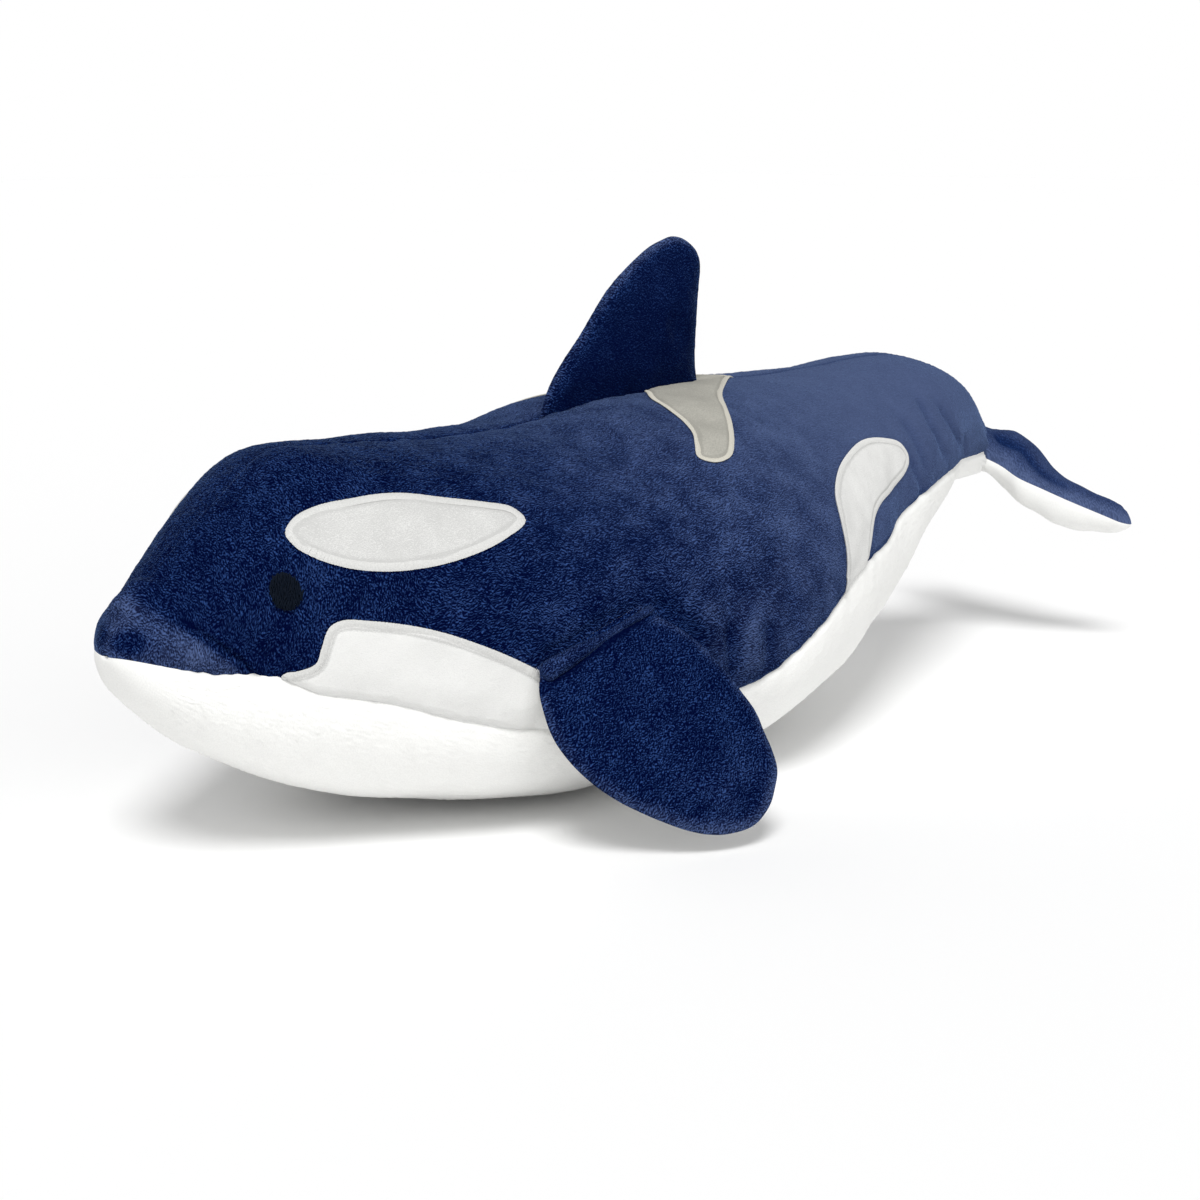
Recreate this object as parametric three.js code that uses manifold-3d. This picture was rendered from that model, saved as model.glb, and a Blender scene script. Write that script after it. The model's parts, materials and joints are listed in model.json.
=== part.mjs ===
// Stuffed toy whale that lies on its belly. Two dark flank panels and a white belly panel
// cover one filling. White and grey patches and two embroidered eyes are sewn on the cover.
// The back fin, the side fins and the flukes are stuffed by themselves and bend at their roots.
// X runs from the snout to the tail, Y to the whale's right and Z up. The origin is on the
// ground, in the middle of the whale's length. All lengths are in millimetres.
import * as THREE from 'three';
import { mergeVertices } from 'three/addons/utils/BufferGeometryUtils.js';
import Module from 'manifold-3d';

const wasm = await Module();
wasm.setup();

// Driving dimensions of the body
const bodyLength = 442; // snout tip to the end of the tail stock
const bodyHeight = 132; // ground to the hump before the flukes
const bodyWidth = 176; // across both flanks
const snoutRounding = 9; // length of the rounded snout tip
const restDepth = 0.5; // how far the belly is pressed flat by the ground

// Driving dimensions of the cloth
const coverThickness = 2;
const patchThickness = 1;
const eyeThickness = 0.8;
const seamGap = 0.3; // between pieces that touch
const finClothThickness = 1.6;
const finSeamWidth = 3.5; // flat rim where the two panels of a fin meet

// Driving dimensions of the patches
const eyePatchLength = 70;
const eyePatchHeight = 20;
const eyeWidth = 7.8;
const eyeHeight = 11.4;
const eyeTilt = 14; // degrees, top towards the tail
const cheekPatchLength = 78;
const cheekPatchHeight = 46;
const flankPatchLength = 82;
const flankPatchHeight = 58;
const saddlePatchLength = 84;
const saddlePatchWidth = 61; // from the middle of the back down the flank

// Driving dimensions of the back fin
const backFinLength = 85;
const backFinHeight = 54.5;
const backFinThickness = 16;
const backFinRootLength = 81;
const backFinRootThickness = 15;
const backFinRootSink = 0.4; // root axis below the line of the back
const backFinFoldRoom = 6.8; // from the root axis to the stuffed part

// Driving dimensions of the side fins
const sideFinSpan = 75.5;
const sideFinWidth = 65;
const sideFinThickness = 14;
const sideFinRootThickness = 10.8;
const sideFinStandOff = 3.2; // root axis outside the flank
const sideFinFoldRoom = 3.4; // from the root axis to the stuffed part
const sideFinSplay = 20; // degrees, from hanging straight down along the flank

// Driving dimensions of the flukes
const flukeSpan = 108;
const flukeChord = 44;
const flukeThickness = 24;
const flukeDroop = 24.5; // how far the tips hang below the root
const flukeRootThickness = 20;
const flukeRootLength = 15;
const flukeRootReach = 3.5; // root axis behind the end of the tail stock
const flukeFoldRoom = 4.5; // from the root axis to the stuffed part
const flukeFoldRoomShare = 0.34; // width of that room, of the span
const flukePitch = 10; // degrees, trailing edge down

// How round the body's section is above and below: 2 is an ellipse
const backRoundExponent = 2.08;
const bellyRoundExponent = 2.55;
// How a fin's section thins towards its seam: 1 is an ellipse
const finPinchExponent = 1.3;
const rollEndShare = 0.45; // thickness of a root hem's ends, of its middle
const leastInsetShare = 0.25; // least half size of a fin's inside, of its inset

// Body sections from the snout to the tail. Each row gives the place as a share of
// bodyLength, the top and bottom as shares of bodyHeight and the half width of bodyWidth.
const bodyShares = [
  [0, 0.575, 0.47, 0.07],
  [0.033, 0.657, 0.355, 0.134],
  [0.083, 0.818, 0.227, 0.21],
  [0.153, 0.95, 0.117, 0.307],
  [0.252, 0.934, 0.034, 0.42],
  [0.362, 0.927, 0, 0.472],
  [0.481, 0.981, 0, 0.5],
  [0.6, 0.985, 0.068, 0.432],
  [0.72, 0.985, 0.223, 0.318],
  [0.84, 1, 0.458, 0.213],
  [0.93, 0.913, 0.566, 0.117],
  [1, 0.722, 0.568, 0.045],
];

// Seam between the dark flanks and the white belly, as shares of bodyLength and bodyHeight
const bellySeamShares = [
  [0, 0.53],
  [0.037, 0.492],
  [0.078, 0.473],
  [0.107, 0.427],
  [0.148, 0.392],
  [0.189, 0.34],
  [0.252, 0.288],
  [0.343, 0.262],
  [0.44, 0.288],
  [0.501, 0.378],
  [0.558, 0.455],
  [0.61, 0.522],
  [0.671, 0.554],
  [0.709, 0.598],
  [0.779, 0.636],
  [0.854, 0.658],
  [0.942, 0.655],
  [1, 0.648],
];

// Outlines of the patches, as shares of their own length and height from their middle
const eyePatchShares = [
  [-0.5, 0.02], [-0.45, 0.25], [-0.345, 0.43], [-0.19, 0.5], [0, 0.49], [0.17, 0.4],
  [0.36, 0.275], [0.475, 0.165], [0.5, 0.02], [0.36, -0.19], [0.17, -0.375],
  [-0.02, -0.485], [-0.2, -0.5], [-0.36, -0.395], [-0.465, -0.2],
];
const cheekPatchShares = [
  [-0.62, 0.08], [-0.62, 0.165], [-0.57, 0.185], [-0.515, 0.23], [-0.495, 0.33],
  [-0.465, 0.46], [-0.42, 0.5], [-0.33, 0.485],
  [-0.2, 0.44], [-0.07, 0.37], [0.06, 0.27], [0.18, 0.16], [0.3, 0.03], [0.41, -0.13],
  [0.5, -0.35], [0.44, -0.5], [0.1, -0.45], [-0.25, -0.25],
];
const flankPatchShares = [
  [-0.42, -0.5], [-0.44, -0.3], [-0.445, -0.05], [-0.45, 0.12], [-0.42, 0.26], [-0.27, 0.39],
  [-0.1, 0.465], [0.1, 0.5], [0.28, 0.475], [0.42, 0.42], [0.46, 0.34], [0.38, 0.255],
  [0.18, 0.19], [0, 0.145], [-0.11, 0.07], [-0.17, -0.04], [-0.19, -0.16], [-0.16, -0.3],
  [-0.16, -0.5],
];
// Outline of the left saddle patch seen from above, as shares of its length and reach
const saddlePatchShares = [
  [0.99, 0], [0.93, 0.05], [0.75, 0.23], [0.56, 0.43], [0.455, 0.59], [0.35, 0.76],
  [0.23, 0.92], [0.14, 1], [0.05, 1], [0, 0.94], [0.04, 0.87], [0.1, 0.78], [0.14, 0.66],
  [0.165, 0.52], [0.21, 0.34], [0.26, 0.24], [0.33, 0.12], [0.36, 0],
];

// Places on the body, as shares of bodyLength and bodyHeight
const eyePlaceShares = [0.0905, 0.663];
const eyePatchPlaceShares = [0.182, 0.774];
const cheekPatchPlaceShares = [0.1935, 0.42];
const flankPatchPlaceShares = [0.645, 0.606];
const saddlePatchStartShare = 0.4445;
const backFinStartShare = 0.404;
const sideFinFrontShares = [0.24, 0.443];
const sideFinRearShares = [0.3315, 0.556];
const flukeRootLevelShare = 0.645;

// Back fin sections from its root up. Each row gives the height as a share of
// backFinHeight, the front and rear edge of backFinLength and the thickness.
const backFinShares = [
  [0, 0, 0.953, 0.76],
  [0.1, 0.03, 0.945, 0.84],
  [0.2, 0.075, 0.945, 0.95],
  [0.33, 0.157, 0.953, 1],
  [0.46, 0.253, 0.965, 0.96],
  [0.57, 0.324, 0.976, 0.88],
  [0.706, 0.415, 0.994, 0.75],
  [0.807, 0.506, 1, 0.62],
  [0.89, 0.6, 0.976, 0.48],
  [0.954, 0.688, 0.924, 0.31],
  [0.985, 0.765, 0.88, 0.17],
];
const backFinTipShare = 0.824;

// Side fin sections from its root to its tip, the same way
const sideFinShares = [
  [0, 0.112, 0.758, 0.42],
  [0.06, 0.063, 0.812, 0.48],
  [0.13, 0.031, 0.866, 0.62],
  [0.25, 0, 0.93, 0.84],
  [0.37, 0.011, 0.965, 0.97],
  [0.5, 0.057, 0.988, 1],
  [0.61, 0.122, 1, 0.98],
  [0.7, 0.194, 0.983, 0.92],
  [0.785, 0.271, 0.969, 0.84],
  [0.865, 0.354, 0.937, 0.7],
  [0.925, 0.436, 0.87, 0.5],
  [0.97, 0.53, 0.8, 0.3],
];
const sideFinTipShare = 0.674;

// Fluke sections from the middle to one tip. Each row gives the place as a share of half
// the span, the leading and trailing edge of flukeChord, how far the pillow stands above and
// below its seam of flukeThickness, and how far the seam hangs of flukeDroop.
const flukeShares = [
  [0, -0.3, 0.793, 0.42, 0.43, 0],
  [0.11, -0.22, 0.802, 0.5, 0.42, 0.11],
  [0.22, 0, 0.804, 0.48, 0.41, 0.265],
  [0.35, 0.06, 0.825, 0.35, 0.44, 0.425],
  [0.5, 0.234, 0.868, 0.27, 0.46, 0.57],
  [0.66, 0.407, 0.925, 0.26, 0.43, 0.715],
  [0.8, 0.575, 0.968, 0.27, 0.34, 0.836],
  [0.9, 0.69, 0.993, 0.25, 0.23, 0.92],
  [0.97, 0.765, 1, 0.17, 0.11, 0.977],
  [1, 0.911, 0.911, 0, 0, 1],
];

// How finely the curved pieces are cut into facets
const bodyAroundCount = 24;
const fillingAroundCount = 18;
const bodyAlongCount = 22;
const snoutRingCount = 4;
const finAroundCount = 14;
const rollAroundCount = 16;
const rollAlongCount = 6;
const outlinePointsPerShare = 2;
const eyeAroundCount = 14;

// One overrun serves every cut
const overrun = bodyHeight;
const probeShare = 0.0002;
const probe = probeShare * bodyLength;

const navy = { color: 0x1f3158, roughness: 0.9, metalness: 0 };
const white = { color: 0xf2f1ee, roughness: 0.92, metalness: 0 };
const grey = { color: 0xa8a8a0, roughness: 0.92, metalness: 0 };
const black = { color: 0x0a0f18, roughness: 0.6, metalness: 0 };
const filling = { color: 0xf7f5ef, roughness: 1, metalness: 0 };

// Smooth curve through the given values that never overshoots them
function monotoneCurve(places, values) {
  const steps = places.slice(1).map((place, i) => place - places[i]);
  const rises = steps.map((step, i) => (values[i + 1] - values[i]) / step);
  const slopes = values.map((value, i) => {
    if (i === 0) return rises[0];
    if (i === values.length - 1) return rises[i - 1];
    if (rises[i - 1] * rises[i] <= 0) return 0;
    const before = 2 * steps[i] + steps[i - 1];
    const after = steps[i] + 2 * steps[i - 1];
    return (before + after) / (before / rises[i - 1] + after / rises[i]);
  });
  return (place) => {
    const held = Math.min(Math.max(place, places[0]), places[places.length - 1]);
    let i = 0;
    while (i < steps.length - 1 && held > places[i + 1]) i += 1;
    const t = (held - places[i]) / steps[i];
    const swing = t * t * (3 - 2 * t);
    const ends = values[i] + (values[i + 1] - values[i]) * swing;
    const bend = slopes[i] * t * (1 - t) ** 2 - slopes[i + 1] * t ** 2 * (1 - t);
    return ends + bend * steps[i];
  };
}

// Closed solids from geometry, and meshes from closed solids

function solidFrom(positions, index) {
  const geometry = new THREE.BufferGeometry();
  geometry.setAttribute('position', new THREE.Float32BufferAttribute(positions, 3));
  geometry.setIndex(index);
  return solidOf(geometry);
}

function solidOf(geometry) {
  geometry.deleteAttribute('normal');
  geometry.deleteAttribute('uv');
  const merged = mergeVertices(geometry);
  const vertProperties = new Float32Array(merged.attributes.position.array);
  const triVerts = new Uint32Array(merged.index.array);
  const kept = [];
  for (let i = 0; i < triVerts.length; i += 3) {
    const [a, b, c] = triVerts.slice(i, i + 3);
    if (a !== b && b !== c && c !== a) kept.push(a, b, c);
  }
  if (signedVolume(vertProperties, kept) < 0) kept.reverse();
  const mesh = new wasm.Mesh({ numProp: 3, vertProperties, triVerts: new Uint32Array(kept) });
  return new wasm.Manifold(mesh);
}

function signedVolume(positions, index) {
  let volume = 0;
  for (let i = 0; i < index.length; i += 3) {
    const [a, b, c] = index.slice(i, i + 3).map((v) => new THREE.Vector3().fromArray(positions, 3 * v));
    volume += a.dot(b.cross(c)) / 6;
  }
  return volume;
}

function addMesh(parent, name, solid, look) {
  const { vertProperties, triVerts } = solid.getMesh();
  const geometry = new THREE.BufferGeometry();
  geometry.setAttribute('position', new THREE.Float32BufferAttribute(vertProperties, 3));
  geometry.setIndex(Array.from(triVerts));
  geometry.computeVertexNormals();
  const mesh = new THREE.Mesh(geometry, new THREE.MeshStandardMaterial(look));
  mesh.name = name;
  parent.add(mesh);
}

// Skin over rings of points, closed with a fan to one point at each end
function loft(rings, startPole, endPole) {
  const count = rings[0].length;
  const points = [startPole, ...rings.flat(), endPole];
  const index = [];
  const at = (ring, step) => 1 + ring * count + (step % count);
  for (let step = 0; step < count; step += 1) {
    index.push(0, at(0, step + 1), at(0, step));
    index.push(points.length - 1, at(rings.length - 1, step), at(rings.length - 1, step + 1));
  }
  for (let ring = 0; ring < rings.length - 1; ring += 1) {
    for (let step = 0; step < count; step += 1) {
      index.push(at(ring, step), at(ring, step + 1), at(ring + 1, step + 1));
      index.push(at(ring, step), at(ring + 1, step + 1), at(ring + 1, step));
    }
  }
  return solidFrom(points.flatMap((point) => point.toArray()), index);
}

// Straight block from an outline: its two coordinates go along the first two axes
function block(outline, from, to, firstAxis, secondAxis) {
  const shape = new THREE.Shape(outline.map(([u, v]) => new THREE.Vector2(u, v)));
  const geometry = new THREE.ExtrudeGeometry(shape, { depth: to - from, bevelEnabled: false });
  geometry.translate(0, 0, from);
  const depthAxis = firstAxis.clone().cross(secondAxis);
  geometry.applyMatrix4(new THREE.Matrix4().makeBasis(firstAxis, secondAxis, depthAxis));
  return solidOf(geometry);
}

const xAxis = new THREE.Vector3(1, 0, 0);
const yAxis = new THREE.Vector3(0, 1, 0);
const zAxis = new THREE.Vector3(0, 0, 1);

// Block over an outline seen from the whale's left: side -1 cuts the left half, 1 the right
function sideBlock(outline, side) {
  const reach = bodyWidth;
  return side < 0 ? block(outline, 0, reach, xAxis, zAxis) : block(outline, -reach, 0, xAxis, zAxis);
}

function box(size, middle) {
  const geometry = new THREE.BoxGeometry(size.x, size.y, size.z);
  geometry.translate(middle.x, middle.y, middle.z);
  return solidOf(geometry);
}

// Round outline through control points
function smoothOutline(points) {
  const controls = points.map(([u, v]) => new THREE.Vector3(u, v, 0));
  const curve = new THREE.CatmullRomCurve3(controls, true, 'centripetal');
  const count = points.length * outlinePointsPerShare;
  return Array.from({ length: count }, (_, i) => curve.getPoint(i / count)).map((p) => [p.x, p.y]);
}

// The body's outer form

const level = (share) => share * bodyHeight - restDepth;
const alongPlaces = bodyShares.map((row) => row[0] * bodyLength);
const topAt = monotoneCurve(alongPlaces, bodyShares.map((row) => level(row[1])));
const bottomAt = monotoneCurve(alongPlaces, bodyShares.map((row) => level(row[2])));
const halfWidthAt = monotoneCurve(alongPlaces, bodyShares.map((row) => row[3] * bodyWidth));

function bodySection(along) {
  const toRound = Math.max(0, 1 - along / snoutRounding);
  const roundedShare = Math.sqrt(1 - toRound ** 2);
  return {
    middle: (topAt(along) + bottomAt(along)) / 2,
    halfHeight: (roundedShare * (topAt(along) - bottomAt(along))) / 2,
    halfWidth: roundedShare * halfWidthAt(along),
  };
}

const signedPower = (value, power) => Math.sign(value) * Math.abs(value) ** power;

// Direction that faces out of the body, at shares across and up of its section
function bodyNormal(along, acrossShare, upShare) {
  const here = bodySection(along);
  const next = bodySection(along + probe);
  const last = bodySection(along - probe);
  const slope = (key) => (next[key] - last[key]) / (2 * probe);
  const roundness = upShare >= 0 ? backRoundExponent : bellyRoundExponent;
  const across = signedPower(acrossShare, roundness - 1);
  const up = signedPower(upShare, roundness - 1);
  const widening = (across * acrossShare * slope('halfWidth')) / here.halfWidth;
  const heightening = (up * (upShare * slope('halfHeight') + slope('middle'))) / here.halfHeight;
  const y = across / here.halfWidth;
  const z = up / here.halfHeight;
  return new THREE.Vector3(-widening - heightening, y, z).normalize();
}

// Point of the body's section: angle 0 is the back, and it turns towards the whale's right
function bodyPoint(along, angle, outward) {
  const { middle, halfHeight, halfWidth } = bodySection(along);
  const roundness = Math.cos(angle) >= 0 ? backRoundExponent : bellyRoundExponent;
  const acrossShare = signedPower(Math.sin(angle), 2 / roundness);
  const upShare = signedPower(Math.cos(angle), 2 / roundness);
  const point = new THREE.Vector3(along, halfWidth * acrossShare, middle + halfHeight * upShare);
  return point.addScaledVector(bodyNormal(along, acrossShare, upShare), outward);
}

// The body's form moved outward, or inward where that is negative, and lengthened at the tail
function bodyForm(outward, tailReach, aroundCount) {
  const places = [];
  for (let i = 1; i <= snoutRingCount; i += 1) {
    places.push(snoutRounding * (1 - Math.cos((i / snoutRingCount) * (Math.PI / 2))));
  }
  for (let i = 1; i <= bodyAlongCount; i += 1) {
    places.push(snoutRounding + (bodyLength - snoutRounding) * (i / bodyAlongCount));
  }
  const rings = places.map((along) => Array.from({ length: aroundCount }, (_, step) =>
    bodyPoint(along, (2 * Math.PI * step) / aroundCount, outward)));
  const last = rings[rings.length - 1];
  for (const point of last) point.x = bodyLength;
  if (tailReach > 0) {
    rings.push(last.map((point) => new THREE.Vector3(bodyLength + tailReach, point.y, point.z)));
  }
  const snoutLevel = bodySection(0).middle;
  const snoutTip = new THREE.Vector3(-outward, 0, snoutLevel);
  const tailEnd = new THREE.Vector3(bodyLength + tailReach, 0, bodySection(bodyLength).middle);
  return loft(rings, snoutTip, tailEnd);
}

// Point of the flank at a height, moved outward
function flankPoint([alongShare, levelShare], side, outward) {
  const along = alongShare * bodyLength;
  const { middle, halfHeight, halfWidth } = bodySection(along);
  const upShare = (level(levelShare) - middle) / halfHeight;
  const roundness = upShare >= 0 ? backRoundExponent : bellyRoundExponent;
  const acrossShare = side * (1 - Math.abs(upShare) ** roundness) ** (1 / roundness);
  const point = new THREE.Vector3(along, halfWidth * acrossShare, level(levelShare));
  return point.addScaledVector(bodyNormal(along, acrossShare, upShare), outward);
}

// Round roll of cloth at the root of a fin, along X from zero. With room round it, it makes
// the seat, whose flats stay clear of the roll's edges as it turns.
function rollForm(length, thickness, endShare, room) {
  const clear = room > 0 ? 1 / Math.cos(Math.PI / rollAroundCount) : 1;
  const profile = [new THREE.Vector2(0, -room)];
  for (let i = 0; i <= rollAlongCount; i += 1) {
    const t = i / rollAlongCount;
    const share = endShare + (1 - endShare) * Math.sqrt(Math.sin(Math.PI * t));
    const radius = clear * ((share * thickness) / 2 + room);
    profile.push(new THREE.Vector2(radius, t * length - room * (1 - 2 * t)));
  }
  profile.push(new THREE.Vector2(0, length + room));
  const geometry = new THREE.LatheGeometry(profile, rollAroundCount);
  geometry.rotateZ(-Math.PI / 2);
  return geometry;
}

// A half size less its inset, held where the fin is too thin for it
const held = (size, inset) => Math.max(size - inset, leastInsetShare * inset);

// Pillow of a fin. Each row gives the place along the span, the front and rear edge and the
// half thickness. The inset makes the space inside the cloth.
function finForm(rows, tip, inset) {
  const rings = rows.map(([place, front, rear, half]) => {
    const middle = (front + rear) / 2;
    const halfChord = held((rear - front) / 2, inset.edge);
    const halfThick = held(half, inset.face);
    const height = Math.min(place, tip.place - inset.edge * (1 + (tip.place - place) / tip.place));
    return Array.from({ length: finAroundCount }, (_, step) => {
      const angle = (2 * Math.PI * step) / finAroundCount;
      const rise = signedPower(Math.sin(angle), finPinchExponent);
      return new THREE.Vector3(middle + halfChord * Math.cos(angle), height, halfThick * rise);
    });
  });
  const root = new THREE.Vector3((rows[0][1] + rows[0][2]) / 2, rows[0][0], 0);
  return loft(rings, root, new THREE.Vector3(tip.along, tip.place - inset.edge, 0));
}

const fullForm = { edge: 0, face: 0 };
const clothInset = { edge: finSeamWidth, face: finClothThickness };
const fillingInset = { edge: finSeamWidth + 2 * seamGap, face: finClothThickness + seamGap };

// Room below a fin's stuffed part, so that it can bend at its root
function foldRoomForm(height) {
  const size = new THREE.Vector3(2 * bodyLength, overrun, overrun);
  return box(size, new THREE.Vector3(0, height - overrun / 2, 0));
}

// Half of a fin's cover on one side of its seam: side 1 is towards +Z
function halfSpace(side, reach) {
  const size = new THREE.Vector3(reach, reach, reach);
  return box(size, new THREE.Vector3(0, 0, (side * (reach + seamGap)) / 2));
}

function group(name, position, basis) {
  const result = new THREE.Group();
  result.name = name;
  result.position.copy(position);
  result.quaternion.setFromRotationMatrix(new THREE.Matrix4().makeBasis(...basis));
  result.updateMatrix();
  return result;
}

const model = new THREE.Group();
model.name = 'plush_whale';

// Root frames of the fins

const backFinStart = backFinStartShare * bodyLength;
const backFinFront = new THREE.Vector3(backFinStart, 0, topAt(backFinStart) - backFinRootSink);
const backFinEnd = backFinStart + backFinRootLength;
const backFinRear = new THREE.Vector3(backFinEnd, 0, topAt(backFinEnd) - backFinRootSink);
const backFinAxis = backFinRear.clone().sub(backFinFront).normalize();
const backFinUp = yAxis.clone().cross(backFinAxis).negate();
const backFin = group('back_fin', backFinFront, [backFinAxis, backFinUp, yAxis.clone().negate()]);
const backFinRollLength = backFinRear.distanceTo(backFinFront);

const sideFins = [-1, 1].map((side) => {
  const front = flankPoint(sideFinFrontShares, side, sideFinStandOff);
  const rear = flankPoint(sideFinRearShares, side, sideFinStandOff);
  const axis = rear.clone().sub(front).normalize();
  const flat = flankPoint(sideFinFrontShares, side, 0).add(flankPoint(sideFinRearShares, side, 0));
  const out = front.clone().add(rear).sub(flat);
  out.addScaledVector(axis, -out.dot(axis)).normalize();
  const down = axis.clone().cross(out).multiplyScalar(-side);
  const splay = THREE.MathUtils.degToRad(sideFinSplay);
  const span = down.multiplyScalar(Math.cos(splay)).addScaledVector(out, Math.sin(splay));
  const face = axis.clone().cross(span);
  const name = side < 0 ? 'side_fin_left' : 'side_fin_right';
  return { side, frame: group(name, front, [axis, span, face]), rollLength: rear.distanceTo(front) };
});

const pitch = THREE.MathUtils.degToRad(flukePitch);
const flukeRoot = new THREE.Vector3(bodyLength + flukeRootReach, 0, level(flukeRootLevelShare));
const flukeBack = new THREE.Vector3(Math.cos(pitch), 0, -Math.sin(pitch));
const flukes = group('flukes', flukeRoot, [flukeBack, yAxis, flukeBack.clone().cross(yAxis)]);

const backRoll = (room) => rollForm(backFinRollLength, backFinRootThickness, rollEndShare, room);
const sideRoll = (length, room) => rollForm(length, sideFinRootThickness, rollEndShare, room);
function flukeRoll(room) {
  const geometry = rollForm(flukeRootLength, flukeRootThickness, rollEndShare, room);
  geometry.translate(-flukeRootLength / 2, 0, 0);
  geometry.rotateZ(Math.PI / 2);
  return geometry;
}

// Seats that the rolls leave in the body's cover and filling
const seats = [backRoll(seamGap).applyMatrix4(backFin.matrix)];
for (const { frame, rollLength } of sideFins) {
  seats.push(sideRoll(rollLength, seamGap).applyMatrix4(frame.matrix));
}
seats.push(flukeRoll(seamGap).applyMatrix4(flukes.matrix));
const seatSolids = seats.map((geometry) => solidOf(geometry));
const withSeats = (solid) => seatSolids.reduce((rest, seat) => rest.subtract(seat), solid);

// Zones that share the cover between its panels

function bellyZone(raise) {
  const count = bodyAlongCount * 2;
  const seamLevel = monotoneCurve(
    bellySeamShares.map((row) => row[0] * bodyLength),
    bellySeamShares.map((row) => level(row[1])),
  );
  const seam = Array.from({ length: count + 1 }, (_, i) => {
    const along = (bodyLength * i) / count;
    return [along, seamLevel(along) + raise];
  });
  const start = [-overrun, seam[0][1]];
  const end = [bodyLength + overrun, seam[count][1]];
  const outline = [start, ...seam, end, [bodyLength + overrun, -overrun], [-overrun, -overrun]];
  return block(outline, -bodyWidth, bodyWidth, xAxis, zAxis);
}

function halfZone(side) {
  const size = new THREE.Vector3(2 * (bodyLength + overrun), bodyWidth, 2 * (bodyHeight + overrun));
  return box(size, new THREE.Vector3(0, (side * (bodyWidth + seamGap)) / 2, 0));
}

const ground = box(
  new THREE.Vector3(2 * (bodyLength + overrun), 2 * bodyWidth, overrun),
  new THREE.Vector3(0, 0, -overrun / 2),
);

// Body: one filling, two dark flanks and the white belly
const coverInside = bodyForm(-coverThickness, overrun, fillingAroundCount);
const coverWhole = bodyForm(0, 0, bodyAroundCount).subtract(coverInside).subtract(ground);
const cover = withSeats(coverWhole);
const fillingDepth = coverThickness + seamGap;
const bodyFilling = withSeats(bodyForm(-fillingDepth, 0, fillingAroundCount));
const bellyBelow = bellyZone(-seamGap / 2);
const bellyAbove = bellyZone(seamGap / 2);
const sideName = (side) => (side < 0 ? 'left' : 'right');

addMesh(model, 'body_stuffing', bodyFilling, filling);
addMesh(model, 'belly_panel', cover.intersect(bellyBelow), white);
for (const side of [-1, 1]) {
  const panel = cover.subtract(bellyAbove).intersect(halfZone(side));
  addMesh(model, `side_panel_${sideName(side)}`, panel, navy);
}

// Patches: thin pieces over the flanks, each cut out by its outline
const patchInside = bodyForm(seamGap, 0, bodyAroundCount);
const patchOutside = bodyForm(seamGap + patchThickness, 0, bodyAroundCount);
const patchLayer = withSeats(patchOutside.subtract(patchInside));
const eyeLayer = bodyForm(seamGap + eyeThickness, 0, bodyAroundCount).subtract(patchInside);

function placed(shares, length, height, [alongShare, levelShare]) {
  return smoothOutline(shares.map(([u, v]) =>
    [alongShare * bodyLength + u * length, level(levelShare) + v * height]));
}

const eyeTurn = THREE.MathUtils.degToRad(-eyeTilt);
const eyeOutline = Array.from({ length: eyeAroundCount }, (_, i) => {
  const angle = (2 * Math.PI * i) / eyeAroundCount;
  const across = (eyeWidth / 2) * Math.cos(angle);
  const up = (eyeHeight / 2) * Math.sin(angle);
  return [
    eyePlaceShares[0] * bodyLength + across * Math.cos(eyeTurn) - up * Math.sin(eyeTurn),
    level(eyePlaceShares[1]) + across * Math.sin(eyeTurn) + up * Math.cos(eyeTurn),
  ];
});
const eyePatchOutline = placed(eyePatchShares, eyePatchLength, eyePatchHeight, eyePatchPlaceShares);
const cheekPatchOutline =
  placed(cheekPatchShares, cheekPatchLength, cheekPatchHeight, cheekPatchPlaceShares);
const flankPatchOutline =
  placed(flankPatchShares, flankPatchLength, flankPatchHeight, flankPatchPlaceShares);

for (const side of [-1, 1]) {
  const layer = patchLayer.subtract(bellyAbove).intersect(halfZone(side));
  const saddleOutline = saddlePatchShares.map(([u, v]) =>
    [saddlePatchStartShare * bodyLength + u * saddlePatchLength, side * v * saddlePatchWidth]);
  const saddleBlock = block(saddleOutline, bodyHeight / 2, bodyHeight + overrun, xAxis, yAxis);
  const name = sideName(side);
  addMesh(model, `eye_patch_${name}`, layer.intersect(sideBlock(eyePatchOutline, side)), white);
  addMesh(model, `cheek_patch_${name}`, layer.intersect(sideBlock(cheekPatchOutline, side)), white);
  addMesh(model, `flank_patch_${name}`, layer.intersect(sideBlock(flankPatchOutline, side)), white);
  addMesh(model, `saddle_patch_${name}`, layer.intersect(saddleBlock), grey);
  addMesh(model, `eye_${name}`, eyeLayer.intersect(sideBlock(eyeOutline, side)), black);
}

// Each fin has a cover of two panels sewn round their edge, a filling and a rolled root hem

function addFin(frame, names, form, roll, room, looks) {
  const cut = (solid) => solid.subtract(room.seat).subtract(room.fold);
  const shell = cut(form(fullForm).subtract(form(clothInset)));
  const reach = bodyLength;
  addMesh(frame, names.front, shell.intersect(halfSpace(1, reach)), looks.front);
  addMesh(frame, names.back, shell.intersect(halfSpace(-1, reach)), looks.back);
  addMesh(frame, names.filling, cut(form(fillingInset)), filling);
  addMesh(frame, names.roll, solidOf(roll), looks.roll);
}

const finRows = (shares, span, width, thickness) => shares.map(([place, front, rear, thick]) =>
  [place * span, front * width, rear * width, (thick * thickness) / 2]);

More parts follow.
